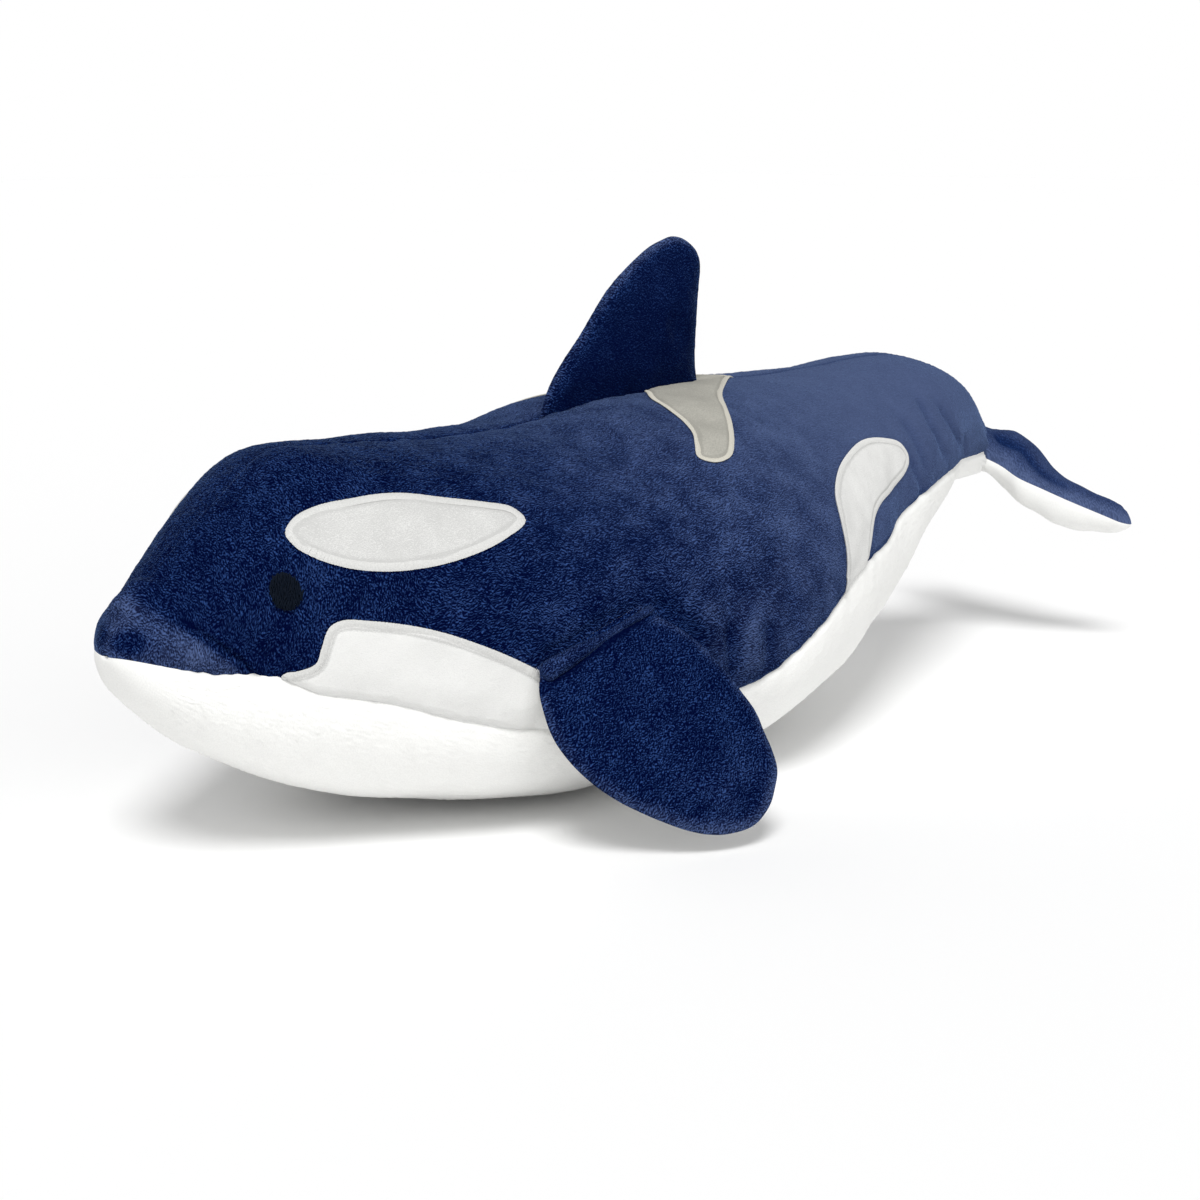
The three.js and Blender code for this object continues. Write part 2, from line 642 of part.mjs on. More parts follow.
// Back fin: it stands on the seam of the back
const backFinRows = finRows(backFinShares, backFinHeight, backFinLength, backFinThickness);
const backFinTip = { along: backFinTipShare * backFinLength, place: backFinHeight };
addFin(
  backFin,
  {
    front: 'back_fin_panel_left',
    back: 'back_fin_panel_right',
    filling: 'back_fin_stuffing',
    roll: 'back_fin_root_hem',
  },
  (inset) => finForm(backFinRows, backFinTip, inset),
  backRoll(0),
  { seat: solidOf(backRoll(seamGap)), fold: foldRoomForm(backFinFoldRoom) },
  { front: navy, back: navy, roll: navy },
);
model.add(backFin);

// Side fins: dark outside, white towards the body
const sideFinRows = finRows(sideFinShares, sideFinSpan, sideFinWidth, sideFinThickness);
const sideFinFrontReach = sideFinShares[0][1] * sideFinWidth;
const sideFinTip = { along: sideFinTipShare * sideFinWidth, place: sideFinSpan };
const sideFinMoved = sideFinRows.map(([place, front, rear, half]) =>
  [place, front - sideFinFrontReach, rear - sideFinFrontReach, half]);
const sideFinMovedTip = { along: sideFinTip.along - sideFinFrontReach, place: sideFinTip.place };
for (const { side, frame, rollLength } of sideFins) {
  const name = sideName(side);
  const outer = `side_fin_${name}_upper_panel`;
  const inner = `side_fin_${name}_lower_panel`;
  addFin(
    frame,
    {
      front: side > 0 ? outer : inner,
      back: side > 0 ? inner : outer,
      filling: `side_fin_${name}_stuffing`,
      roll: `side_fin_${name}_root_hem`,
    },
    (inset) => finForm(sideFinMoved, sideFinMovedTip, inset),
    sideRoll(rollLength, 0),
    { seat: solidOf(sideRoll(rollLength, seamGap)), fold: foldRoomForm(sideFinFoldRoom) },
    { front: side > 0 ? navy : white, back: side > 0 ? white : navy, roll: navy },
  );
  model.add(frame);
}

// Flukes: both lobes are one pillow that droops towards its tips
const halfSpan = flukeSpan / 2;
const droopShareAt = monotoneCurve(flukeShares.map((row) => row[0]), flukeShares.map((row) => row[5]));
const droopAt = (across) => -flukeDroop * droopShareAt(Math.abs(across) / halfSpan);

function flukeForm(inset) {
  const half = flukeShares.slice(0, -1);
  const otherHalf = half.slice(1).reverse().map(([place, ...rest]) => [-place, ...rest]);
  const rings = [...otherHalf, ...half].map(([place, lead, trail, above, below]) => {
    const across = place * (halfSpan - inset.edge);
    const middle = ((lead + trail) / 2) * flukeChord;
    const halfChord = held(((trail - lead) / 2) * flukeChord, inset.edge);
    const rises = [above, below].map((share) => held(share * flukeThickness, inset.face));
    return Array.from({ length: finAroundCount }, (_, step) => {
      const angle = (2 * Math.PI * step) / finAroundCount;
      const turn = signedPower(Math.sin(angle), finPinchExponent);
      const z = droopAt(across) + turn * (turn > 0 ? rises[0] : rises[1]);
      return new THREE.Vector3(middle + halfChord * Math.cos(angle), across, z);
    });
  });
  const tipAlong = flukeShares[half.length][1] * flukeChord;
  const tips = [-1, 1].map((side) => {
    const across = side * (halfSpan - inset.edge);
    return new THREE.Vector3(tipAlong, across, droopAt(across));
  });
  return loft(rings, tips[0], tips[1]);
}

// Space above the drooping seam, or below it
function flukeZone(side) {
  const count = finAroundCount;
  const seam = Array.from({ length: count + 1 }, (_, i) => {
    const across = flukeSpan * (i / count) - halfSpan;
    return [across, droopAt(across) + (side * seamGap) / 2];
  });
  const start = [-flukeSpan, seam[0][1]];
  const end = [flukeSpan, seam[count][1]];
  const outline = [start, ...seam, end, [flukeSpan, side * overrun], [-flukeSpan, side * overrun]];
  return block(outline, -overrun, overrun, yAxis, zAxis);
}

const foldRoom = box(
  new THREE.Vector3(overrun, flukeFoldRoomShare * flukeSpan, overrun),
  new THREE.Vector3(flukeFoldRoom - overrun / 2, 0, 0),
);
const flukeSeat = solidOf(flukeRoll(seamGap));
const flukeCut = (solid) => solid.subtract(foldRoom).subtract(flukeSeat);
const flukeShell = flukeCut(flukeForm(fullForm).subtract(flukeForm(clothInset)));
addMesh(flukes, 'fluke_upper_panel', flukeShell.intersect(flukeZone(1)), navy);
addMesh(flukes, 'fluke_lower_panel', flukeShell.intersect(flukeZone(-1)), white);
addMesh(flukes, 'fluke_stuffing', flukeCut(flukeForm(fillingInset)), filling);
addMesh(flukes, 'fluke_root_hem', solidOf(flukeRoll(0)), navy);
model.add(flukes);

// The origin lies in the middle of the whale's length
model.updateMatrixWorld(true);
const bounds = new THREE.Box3().setFromObject(model, true);
model.position.x = -(bounds.min.x + bounds.max.x) / 2;
model.updateMatrixWorld(true);

export default model;
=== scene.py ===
"""Plush whale: the cloth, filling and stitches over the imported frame.

Navy side panels and a white belly panel are sewn over one filling. White and grey patches with
satin-stitched borders, embroidered eyes, and stuffed fins and flukes are sewn on them.
Lengths are in metres. X runs from the snout to the tail, Y to the whale's right and Z up.
"""

import json
import math

import bpy
import numpy as np
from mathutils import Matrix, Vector
from mathutils.geometry import delaunay_2d_cdt


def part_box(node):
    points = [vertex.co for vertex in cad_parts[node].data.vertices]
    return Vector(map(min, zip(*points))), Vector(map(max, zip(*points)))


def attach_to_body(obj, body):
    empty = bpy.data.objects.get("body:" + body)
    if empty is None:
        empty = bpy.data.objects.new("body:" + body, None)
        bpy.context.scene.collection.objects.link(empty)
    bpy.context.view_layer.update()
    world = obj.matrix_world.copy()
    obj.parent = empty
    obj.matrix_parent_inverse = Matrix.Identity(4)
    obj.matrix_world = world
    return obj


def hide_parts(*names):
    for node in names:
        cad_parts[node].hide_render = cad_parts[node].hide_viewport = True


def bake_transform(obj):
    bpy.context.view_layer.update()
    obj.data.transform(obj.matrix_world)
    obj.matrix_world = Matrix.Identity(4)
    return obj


bl_info = {
    "name": "Plush whale",
    "version": (1, 0, 0),
    "blender": (4, 5, 0),
    "location": "3D Viewport > Sidebar > Plush",
    "description": "Sews the cover, patches, eyes, fins and flukes of a stuffed whale",
    "category": "Add Mesh",
}

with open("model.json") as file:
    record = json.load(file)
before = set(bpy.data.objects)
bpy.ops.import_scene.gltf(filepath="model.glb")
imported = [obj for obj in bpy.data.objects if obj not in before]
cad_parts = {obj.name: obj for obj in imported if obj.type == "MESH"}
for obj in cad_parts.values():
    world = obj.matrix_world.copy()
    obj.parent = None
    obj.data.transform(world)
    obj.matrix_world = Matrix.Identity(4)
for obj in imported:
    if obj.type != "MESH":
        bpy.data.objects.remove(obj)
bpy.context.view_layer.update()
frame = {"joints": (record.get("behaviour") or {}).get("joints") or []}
JOINTS = {joint["name"]: joint for joint in frame["joints"]}
MM = 0.001
CLOTH_UNIT = 0.1  # length on the cloth of one unit of its map
CACHE = {}
LEFT, RIGHT = -1, 1
SIDE_NAMES = {LEFT: "left", RIGHT: "right"}

# Body sections from the snout to the tail. Each row gives the place as a share of the body's
# length, the top and bottom as shares of its height and the half width of its width.
BODY_SHARES = np.array([
    [0, 0.575, 0.47, 0.07],
    [0.033, 0.657, 0.355, 0.134],
    [0.083, 0.818, 0.227, 0.21],
    [0.153, 0.95, 0.117, 0.307],
    [0.252, 0.934, 0.034, 0.42],
    [0.362, 0.927, 0, 0.472],
    [0.481, 0.981, 0, 0.5],
    [0.6, 0.985, 0.068, 0.432],
    [0.72, 0.985, 0.223, 0.318],
    [0.84, 1, 0.458, 0.213],
    [0.93, 0.913, 0.566, 0.117],
    [1, 0.722, 0.568, 0.045],
])

# Seam between the side panels and the belly, as shares of the body's length and height
BELLY_SEAM_SHARES = np.array([
    [0, 0.53], [0.037, 0.492], [0.078, 0.473], [0.107, 0.427], [0.148, 0.392], [0.189, 0.34],
    [0.252, 0.288], [0.343, 0.262], [0.44, 0.288], [0.501, 0.378], [0.558, 0.455], [0.61, 0.522],
    [0.671, 0.554], [0.709, 0.598], [0.779, 0.636], [0.854, 0.658], [0.942, 0.655], [1, 0.648],
])

# Outlines of the patches, as shares of their own length and height from their middle
EYE_PATCH_SHARES = [
    (-0.5, 0.02), (-0.45, 0.25), (-0.345, 0.43), (-0.19, 0.5), (0, 0.49), (0.17, 0.4),
    (0.36, 0.275), (0.475, 0.165), (0.5, 0.02), (0.36, -0.19), (0.17, -0.375),
    (-0.02, -0.485), (-0.2, -0.5), (-0.36, -0.395), (-0.465, -0.2),
]
CHEEK_PATCH_SHARES = [
    (-0.62, 0.08), (-0.62, 0.165), (-0.57, 0.185), (-0.515, 0.23), (-0.495, 0.33),
    (-0.465, 0.46), (-0.42, 0.5), (-0.33, 0.485), (-0.2, 0.44), (-0.07, 0.37), (0.06, 0.27),
    (0.18, 0.16), (0.3, 0.03), (0.41, -0.13), (0.5, -0.35), (0.44, -0.5), (0.1, -0.45),
    (-0.25, -0.25),
]
FLANK_PATCH_SHARES = [
    (-0.42, -0.5), (-0.44, -0.3), (-0.445, -0.05), (-0.45, 0.12), (-0.42, 0.26), (-0.27, 0.39),
    (-0.1, 0.465), (0.1, 0.5), (0.28, 0.475), (0.42, 0.42), (0.46, 0.34), (0.38, 0.255),
    (0.18, 0.19), (0, 0.145), (-0.11, 0.07), (-0.17, -0.04), (-0.19, -0.16), (-0.16, -0.3),
    (-0.16, -0.5),
]
# Outline of the left saddle patch seen from above, as shares of its length and reach
SADDLE_PATCH_SHARES = [
    (0.99, 0), (0.93, 0.05), (0.75, 0.23), (0.56, 0.43), (0.455, 0.59), (0.35, 0.76),
    (0.23, 0.92), (0.14, 1), (0.05, 1), (0, 0.94), (0.04, 0.87), (0.1, 0.78), (0.14, 0.66),
    (0.165, 0.52), (0.21, 0.34), (0.26, 0.24), (0.33, 0.12), (0.36, 0),
]

# Outline of each patch on the flank, and its middle as shares of the body's length and height
FLANK_PATCHES = {
    "eye_patch": (EYE_PATCH_SHARES, (0.182, 0.774)),
    "cheek_patch": (CHEEK_PATCH_SHARES, (0.1935, 0.42)),
    "flank_patch": (FLANK_PATCH_SHARES, (0.645, 0.606)),
}

# How bright the pile of each patch is painted, from 0 to 1: one cloth, made lighter or darker as
# painted light and shade for how the light falls on each patch; the width of its border as a share
# of the widest, and how far it stands up in millimetres
PATCH_LOOKS = {
    "eye_patch": (0.4, 0.95, 0.6),
    "cheek_patch": (0.95, 0.9, 0.8),
    "flank_patch": (0.7, 0.75, 0.7),
    "saddle_patch": (0.5, 0.65, 0.8),
}

# Rings of mesh points inside the outline of a patch and of a fin, in millimetres from it
PATCH_RINGS = (0.5, 1.0, 1.6, 2.2, 2.6, 2.9, 3.3, 3.9)
FIN_RINGS = (0.35, 0.9, 1.7, 2.6)
PATCH_STEP = 1.1 * MM  # mesh spacing of the patches
EYE_STEP = 0.6 * MM
SIDE_COLUMNS, BELLY_COLUMNS = 160, 190  # mesh rows across a side panel and the belly
FILLING_INSET = 5.5 * MM  # from the body's form to its filling

# Fin sections from the root up. Each row gives the place as a share of the span, the front and
# rear edge of the chord and the thickness.
BACK_FIN_SHARES = np.array([
    [0, 0, 0.953, 0.76], [0.1, 0.03, 0.945, 0.84], [0.2, 0.075, 0.945, 0.95],
    [0.33, 0.157, 0.953, 1], [0.46, 0.253, 0.965, 0.96], [0.57, 0.324, 0.976, 0.88],
    [0.706, 0.415, 0.994, 0.75], [0.807, 0.506, 1, 0.62], [0.89, 0.6, 0.976, 0.48],
    [0.954, 0.688, 0.924, 0.31], [0.985, 0.765, 0.88, 0.17], [1, 0.824, 0.824, 0],
])
SIDE_FIN_SHARES = np.array([
    [0, 0.112, 0.758, 0.42], [0.06, 0.063, 0.812, 0.48], [0.13, 0.031, 0.866, 0.62],
    [0.25, 0, 0.93, 0.84], [0.37, 0.011, 0.965, 0.97], [0.5, 0.057, 0.988, 1],
    [0.61, 0.122, 1, 0.98], [0.7, 0.194, 0.983, 0.92], [0.785, 0.271, 0.969, 0.84],
    [0.865, 0.354, 0.937, 0.7], [0.925, 0.436, 0.87, 0.5], [0.97, 0.53, 0.8, 0.3],
    [1, 0.674, 0.674, 0],
])
# Fluke sections from the middle to a tip. Each row gives the place as a share of half the span,
# the leading and trailing edge of the chord, how far the pillow stands above and below its seam
# of its thickness, and how far the seam hangs of the droop.
FLUKE_SHARES = np.array([
    [0, -0.3, 0.793, 0.42, 0.43, 0],
    [0.11, -0.22, 0.802, 0.5, 0.42, 0.11],
    [0.22, 0, 0.804, 0.48, 0.41, 0.265],
    [0.35, 0.06, 0.825, 0.35, 0.44, 0.425],
    [0.5, 0.234, 0.868, 0.27, 0.46, 0.57],
    [0.66, 0.407, 0.925, 0.26, 0.43, 0.715],
    [0.8, 0.575, 0.968, 0.27, 0.34, 0.836],
    [0.9, 0.69, 0.993, 0.25, 0.23, 0.92],
    [0.97, 0.765, 1, 0.17, 0.11, 0.977],
    [1, 0.911, 0.911, 0, 0, 1],
])

# Creases and folds of the cover, drawn on the whale's left and mirrored: the places on the
# flank as millimetres from the snout and from the ground, then depth and half width in
# millimetres. A negative depth is a ridge.
FOLDS = {
    "snout dart": ([(32, 60), (26, 67.7), (22.5, 71.5), (18.5, 75.6), (15, 80)], 2.2, 1.0),
    "behind the dart": ([(36, 63), (30, 70.5), (26.5, 74.3), (22, 78.5), (18, 83)], 1.1, 4.0),
    "swelling before the dart": ([(26, 58), (21.5, 64), (18, 68), (14, 72), (10.5, 76)], -0.9, 4.2),
    "snout bridge": ([(15, 80), (14, 83.4), (14.5, 86.4)], 0.3, 3.5),
    "fin hollow": ([(149, 74), (158, 70), (165, 63), (171, 54)], 2.6, 5.0),
    "fold behind the fin": ([(181, 64), (182, 55), (184, 46), (188, 39)], 1.6, 3.2),
    "second fold": ([(199, 62), (200.5, 52), (202, 44)], 0.9, 2.8),
    "third fold": ([(212, 78), (211.5, 68), (213.5, 58), (214, 50)], 0.8, 4.5),
    "ridge": ([(190, 64), (193, 52), (196, 42)], -1.2, 4.0),
    "upper ridge": ([(173, 74), (174, 60), (177, 48)], -1.0, 4.5),
    "fin root": ([(104, 60.5), (118, 66), (132, 71.5), (147, 76)], 0.9, 1.7),
    "shoulder pull": ([(108, 65), (99, 69.6), (92, 72)], 0.9, 3.0),
    "tail crease": ([(364, 116), (370, 109), (377, 102), (391, 93)], 1.5, 2.6),
    "upper tail crease": ([(352, 120), (353, 108), (359, 98), (368, 91)], 1.3, 3.2),
    "flank crease": ([(331, 114), (334, 105), (336, 98), (340, 89)], 1.0, 4.0),
    "lower flank crease": ([(323, 101), (328, 93), (334, 86), (341, 81)], 1.1, 3.2),
    "tail end crease": ([(393, 98), (397, 94), (403, 89)], 1.2, 2.2),
    "brow": ([(41, 93), (44, 97), (49, 100)], 1.0, 2.2),
    "upper lip": ([(6, 84), (12, 91), (18, 97)], -2.2, 8.0),
}

# Where the dart across the snout lies at some levels, in millimetres
DART_LEVELS = (58, 64, 72, 80, 88)
DART_PLACES = (34, 29, 22, 15, 10)
# Crease in each fluke as millimetres across and back from the middle of its root
FLUKE_CREASE = [(5, 6), (12, 11), (21, 15), (30, 20)]
# Middle of the eye and ends of a side fin's root, as shares of the body's length and height
EYE_PLACE = (0.0905, 0.663)
SIDE_FIN_ROOT = [(0.24, 0.443), (0.3315, 0.556)]


def monotone_curve(places, values):
    """A smooth curve through the values that never overshoots them."""
    places, values = np.asarray(places, float), np.asarray(values, float)
    steps, rises = np.diff(places), np.diff(values) / np.diff(places)
    slopes = np.concatenate([rises[:1], np.zeros(len(values) - 2), rises[-1:]])
    for i in range(1, len(values) - 1):
        if rises[i - 1] * rises[i] > 0:
            before, after = 2 * steps[i] + steps[i - 1], steps[i] + 2 * steps[i - 1]
            slopes[i] = (before + after) / (before / rises[i - 1] + after / rises[i])

    def at(place):
        held = np.clip(place, places[0], places[-1])
        i = np.clip(np.searchsorted(places, held) - 1, 0, len(steps) - 1)
        t = (held - places[i]) / steps[i]
        ends = values[i] + (values[i + 1] - values[i]) * t * t * (3 - 2 * t)
        return ends + steps[i] * (slopes[i] * t * (1 - t) ** 2 - slopes[i + 1] * t * t * (1 - t))

    return at


def signed_power(value, power):
    return np.sign(value) * np.abs(value) ** power


def unit(vectors):
    return vectors / np.maximum(np.linalg.norm(vectors, axis=-1, keepdims=True), 1e-12)


def smooth_step(value, low, high):
    t = np.clip((value - low) / (high - low), 0, 1)
    return t * t * (3 - 2 * t)


def bell(distance, half_width):
    """1 at no distance, falling away past the half width."""
    return np.exp(-((distance / half_width) ** 2))


def distance_to_path(points, path, closed=False):
    """Distance from each point to a line of straight pieces, and the share along it."""
    flat = points.reshape(-1, points.shape[-1])
    path = np.asarray(path, float)
    ends = np.roll(path, -1, 0) if closed else path[1:]
    starts = path if closed else path[:-1]
    lengths = np.linalg.norm(ends - starts, axis=1)
    run = np.concatenate([[0], np.cumsum(lengths)])
    best = np.full(len(flat), np.inf)
    share = np.zeros(len(flat))
    for a, b, length, before in zip(starts, ends, lengths, run):
        if length == 0:
            continue
        t = np.clip(((flat - a) @ (b - a)) / length**2, 0, 1)
        d = np.linalg.norm(flat - a - t[:, None] * (b - a), axis=1)
        nearer = d < best
        best = np.where(nearer, d, best)
        share = np.where(nearer, (before + t * length) / run[-1], share)
    return best.reshape(points.shape[:-1]), share.reshape(points.shape[:-1])


def soft_lumps(points, wavelength, seed):
    """Gentle uneven swelling of a filling, about -1 to 1."""
    rng = np.random.default_rng(seed)
    total = np.zeros(points.shape[:-1])
    count = 14
    for _ in range(count):
        way = unit(rng.normal(size=3))
        wave = wavelength * rng.uniform(0.7, 1.5)
        total += np.sin(points @ way * (2 * math.pi / wave) + rng.uniform(0, 2 * math.pi))
    return total / math.sqrt(count)


class Body:
    """The body's form and the relief of its cover."""

    back_roundness = 2.08
    belly_roundness = 2.55
    last_share = 0.995  # how near to the rim of its section a place found by level may lie
    seam_line = 1.3 * MM  # half width of the thin line along a seam
    fold_reach = 60 * MM  # how far along the body from its middle a fold can be felt
    gathers = 11  # round the end of the tail stock
    gather_height = 0.7 * MM
    gather_reach = 14 * MM

    def __init__(self, sizes):
        low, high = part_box("belly_panel")
        self.front = low.x
        self.length = high.x - low.x
        self.height = sizes.body_height
        self.sizes = sizes
        places = BODY_SHARES[:, 0] * self.length
        self.top = monotone_curve(places, self.level(BODY_SHARES[:, 1]))
        self.bottom = monotone_curve(places, self.level(BODY_SHARES[:, 2]))
        self.half_width = monotone_curve(places, BODY_SHARES[:, 3] * sizes.body_width)
        seam_places, seam_levels = BELLY_SEAM_SHARES.T
        self.seam_level = monotone_curve(seam_places * self.length, self.level(seam_levels))
        self.pole_drop = self.seam_level(0) - self.section(0)[0]
        self.folds = [
            (self.fold_path(path, side), depth * MM, half * MM)
            for path, depth, half in FOLDS.values()
            for side in (LEFT, RIGHT)
        ]
        self.wander_places = np.arange(0, self.length, sizes.cover_step)
        rng = np.random.default_rng(19)
        self.wander = rng.normal(0, sizes.seam_wander, len(self.wander_places))

    def level(self, share):
        """Height over the floor of a share of the body's height."""
        return share * self.height - self.sizes.rest_depth

    def section(self, along):
        """Middle level, half height and half width of the section at a place."""
        snout = np.clip(1 - along / self.sizes.snout_rounding, 0, 1)
        tail = np.clip(1 - (self.length - along) / self.sizes.tail_rounding, 0, 1)
        rounded = np.sqrt(np.maximum(0, (1 - snout**2) * (1 - tail**2)))
        middle = (self.top(along) + self.bottom(along)) / 2
        high = rounded * (self.top(along) - self.bottom(along)) / 2
        return middle, high, rounded * self.half_width(along)

    def form(self, along, angle):
        """Point of the plain form: angle 0 is the back, and it turns to the whale's right."""
        middle, high, wide = self.section(along)
        power = 2 / np.where(np.cos(angle) >= 0, self.back_roundness, self.belly_roundness)
        across = signed_power(np.sin(angle), power)
        up = signed_power(np.cos(angle), power)
        return np.stack([self.front + along, wide * across, middle + high * up], -1)

    def normal(self, along, angle):
        """Outward direction of the plain form."""
        step, turn = 0.2 * MM, 0.004
        inner = np.clip(along, 2 * step, self.length - 2 * step)
        ahead = self.form(inner + step, angle) - self.form(inner - step, angle)
        round_it = self.form(inner, angle + turn) - self.form(inner, angle - turn)
        return unit(np.cross(ahead, round_it))

    def angle_at(self, along, level, side):
        """Angle of the flank's point at a level."""
        middle, high, _ = self.section(along)
        up = np.clip((level - middle) / np.maximum(high, 1e-6), -self.last_share, self.last_share)
        power = np.where(up >= 0, self.back_roundness, self.belly_roundness) / 2
        return side * np.arccos(signed_power(up, power))

    def angle_across(self, along, across):
        """Angle of the back's point at a distance across from the middle."""
        wide = self.section(along)[2]
        share = np.clip(across / np.maximum(wide, 1e-6), -self.last_share, self.last_share)
        return np.arcsin(signed_power(share, self.back_roundness / 2))

    def fold_path(self, path, side):
        """Points on the form of a path given in millimetres from the snout and the ground."""
        along, level = np.array(path, float).T * MM
        return self.form(along, self.angle_at(along, level, side))

    def seam_angle(self, along):
        """Angle of the belly seam on the right, blurred a little by the pile."""
        wander = np.interp(along, self.wander_places, self.wander)
        wander = wander * (1 - 0.7 * smooth_step(along, 0.2, 0.3))
        level = self.seam_level(along) + wander * smooth_step(along, 2 * MM, 20 * MM)
        level = level - self.pole_drop * np.exp(-along / (1.5 * MM))
        return self.angle_at(along, level, RIGHT)

    def relief(self, along, angle, points):
        """How far the cover stands out of the plain form: seams, folds and lumps."""
        sizes, turn = self.sizes, 0.01
        angle = (angle + math.pi) % math.tau - math.pi
        round_it = self.form(along, angle + turn) - self.form(along, angle - turn)
        girth = np.linalg.norm(round_it, axis=-1)
        from_belly_seam = np.abs(np.abs(angle) - self.seam_angle(along)) * girth / (2 * turn)
        from_back_seam = np.where(np.cos(angle) > 0, np.abs(points[..., 1]), 1)
        ease = smooth_step(along, 0, 12 * MM)
        pucker = 1 + 0.35 * soft_lumps(points[..., :1] * [1, 0, 0], 9 * MM, 5)
        pucker *= 1 - 0.5 * smooth_step(along, 240 * MM, 330 * MM)
        back = smooth_step(along, 55 * MM, 85 * MM) - 0.75 * smooth_step(along, 185 * MM, 330 * MM)
        height = np.zeros(points.shape[:-1])
        for distance, depth in ((from_belly_seam, 0.8), (from_back_seam, back)):
            line, valley = bell(distance, self.seam_line), bell(distance, sizes.seam_valley)
            height -= depth * sizes.seam_depth * (0.55 * line + 0.45 * valley * pucker) * ease
        height += self.fold_relief(points)
        from_tail = self.length - along
        gather = self.gather_height * np.exp(-from_tail / self.gather_reach)
        gather = gather * np.sin(self.gathers * angle + 40 * along)
        height += gather * smooth_step(from_tail, 0, 4 * MM)
        height += sizes.lump_height * soft_lumps(points, 42 * MM, 11) * ease
        return height

    def fold_relief(self, points):
        """How far the folds raise the cover, which is less at their ends."""
        height = np.zeros(points.shape[:-1])
        for path, depth, half in self.folds:
            near = np.abs(points[..., 0] - path[:, 0].mean()) < self.fold_reach
            distance, share = distance_to_path(points[near], path)
            fade = smooth_step(share, 0, 0.2) * smooth_step(1 - share, 0, 0.3) * 0.75 + 0.25
            height[near] -= depth * fade * bell(distance, half)
        return height

    def surface(self, along, angle):
        """Point and outward direction of the cover."""
        points, normals = self.form(along, angle), self.normal(along, angle)
        points = points + normals * self.relief(along, angle, points)[..., None]
        points[..., 2] = np.maximum(points[..., 2], 0)
        return points, normals


# Nodes


class Value:
    """The output of a node, which can be used in sums."""

    def __init__(self, nodes, socket):
        self.nodes = nodes
        self.socket = socket

    def output(self, key):
        """Another output of the same node."""
        return Value(self.nodes, self.socket.node.outputs[key])

    def combine(self, operation, other):
        return self.nodes.add("ShaderNodeMath", {0: self, 1: other}, operation=operation)

    def __add__(self, other):
        return self.combine("ADD", other)

    def __sub__(self, other):
        return self.combine("SUBTRACT", other)

    def __mul__(self, other):
        return self.combine("MULTIPLY", other)


class Nodes:
    """A node tree, whose nodes are added one by one."""

    def __init__(self, tree):
        self.tree = tree
        tree.nodes.clear()

    def add(self, kind, inputs=None, out=None, **settings):
        """Adds a node and gives one of its outputs, or else the first that is in use."""
        node = self.tree.nodes.new(kind)
        for key, value in settings.items():
            setattr(node, key, value)
        for key, value in (inputs or {}).items():
            if isinstance(value, Value):
                self.tree.links.new(value.socket, node.inputs[key])
            else:
                node.inputs[key].default_value = value
        if out is not None:
            return Value(self, node.outputs[out])
        return next((Value(self, socket) for socket in node.outputs if socket.enabled), None)


class Shader(Nodes):
    """The nodes of a material or a world."""

    def __init__(self, owner):
        owner.use_nodes = True
        super().__init__(owner.node_tree)
        self.owner = owner

    def mix(self, factor, first, second):
        inputs = {0: factor, 6: first, 7: second}
        return self.add("ShaderNodeMix", inputs, out=2, data_type="RGBA", clamp_factor=True)

    def ramp(self, factor, low, high):
        """0 below low and 1 above high, smoothly."""
        inputs = {"Value": factor, "From Min": low, "From Max": high}
        return self.add("ShaderNodeMapRange", inputs, interpolation_type="SMOOTHSTEP")

    def noise(self, vector, scale, detail=2.0, rough=0.5, out=0):
        inputs = {"Vector": vector, "Scale": scale, "Detail": detail, "Roughness": rough}
        return self.add("ShaderNodeTexNoise", inputs, out)

    def fibres(self, base, height, strength, depth, constants):
        """Finish as fibres that stand up by a height."""
        bump = {"Strength": strength, "Distance": depth, "Height": height}
        inputs = {"Base Color": base, "Normal": self.add("ShaderNodeBump", bump), **constants}
        return self.finish(self.add("ShaderNodeBsdfPrincipled", inputs))

    def finish(self, shader, output="ShaderNodeOutputMaterial"):
        self.add(output, {"Surface": shader})
        return self.owner


def colour(rgb, share=1.0):
    """The colour, or a share of its light."""
    return (*(c * share for c in rgb[:3]), 1.0)


def clumps(s, cloth, across, size, comb):
    """Height of pile that lies in short strokes, combed along the body, or aslant where across
    is 1."""
    way = s.noise(cloth, 14.0, 2.0, 0.6)
    turned_by = (way - 0.5) * 2.4 + math.radians(80) - across * math.radians(68)
    waves = 1.1  # in the length of a stroke
    strokes = s.add("ShaderNodeTexGabor", {
        "Vector": cloth, "Scale": CLOTH_UNIT / (size * waves), "Frequency": waves,
        "Anisotropy": comb, 4: turned_by}, gabor_type="2D")
    stretch = {"Vector": cloth, "Scale": (1 + 1.2 * comb, 1.0, 1.0)}
    lying = s.add("ShaderNodeMapping", stretch, vector_type="TEXTURE")
    return strokes * 0.5 + s.noise(lying, 1.25 * CLOTH_UNIT / size, 2.0, 0.7) * 0.5


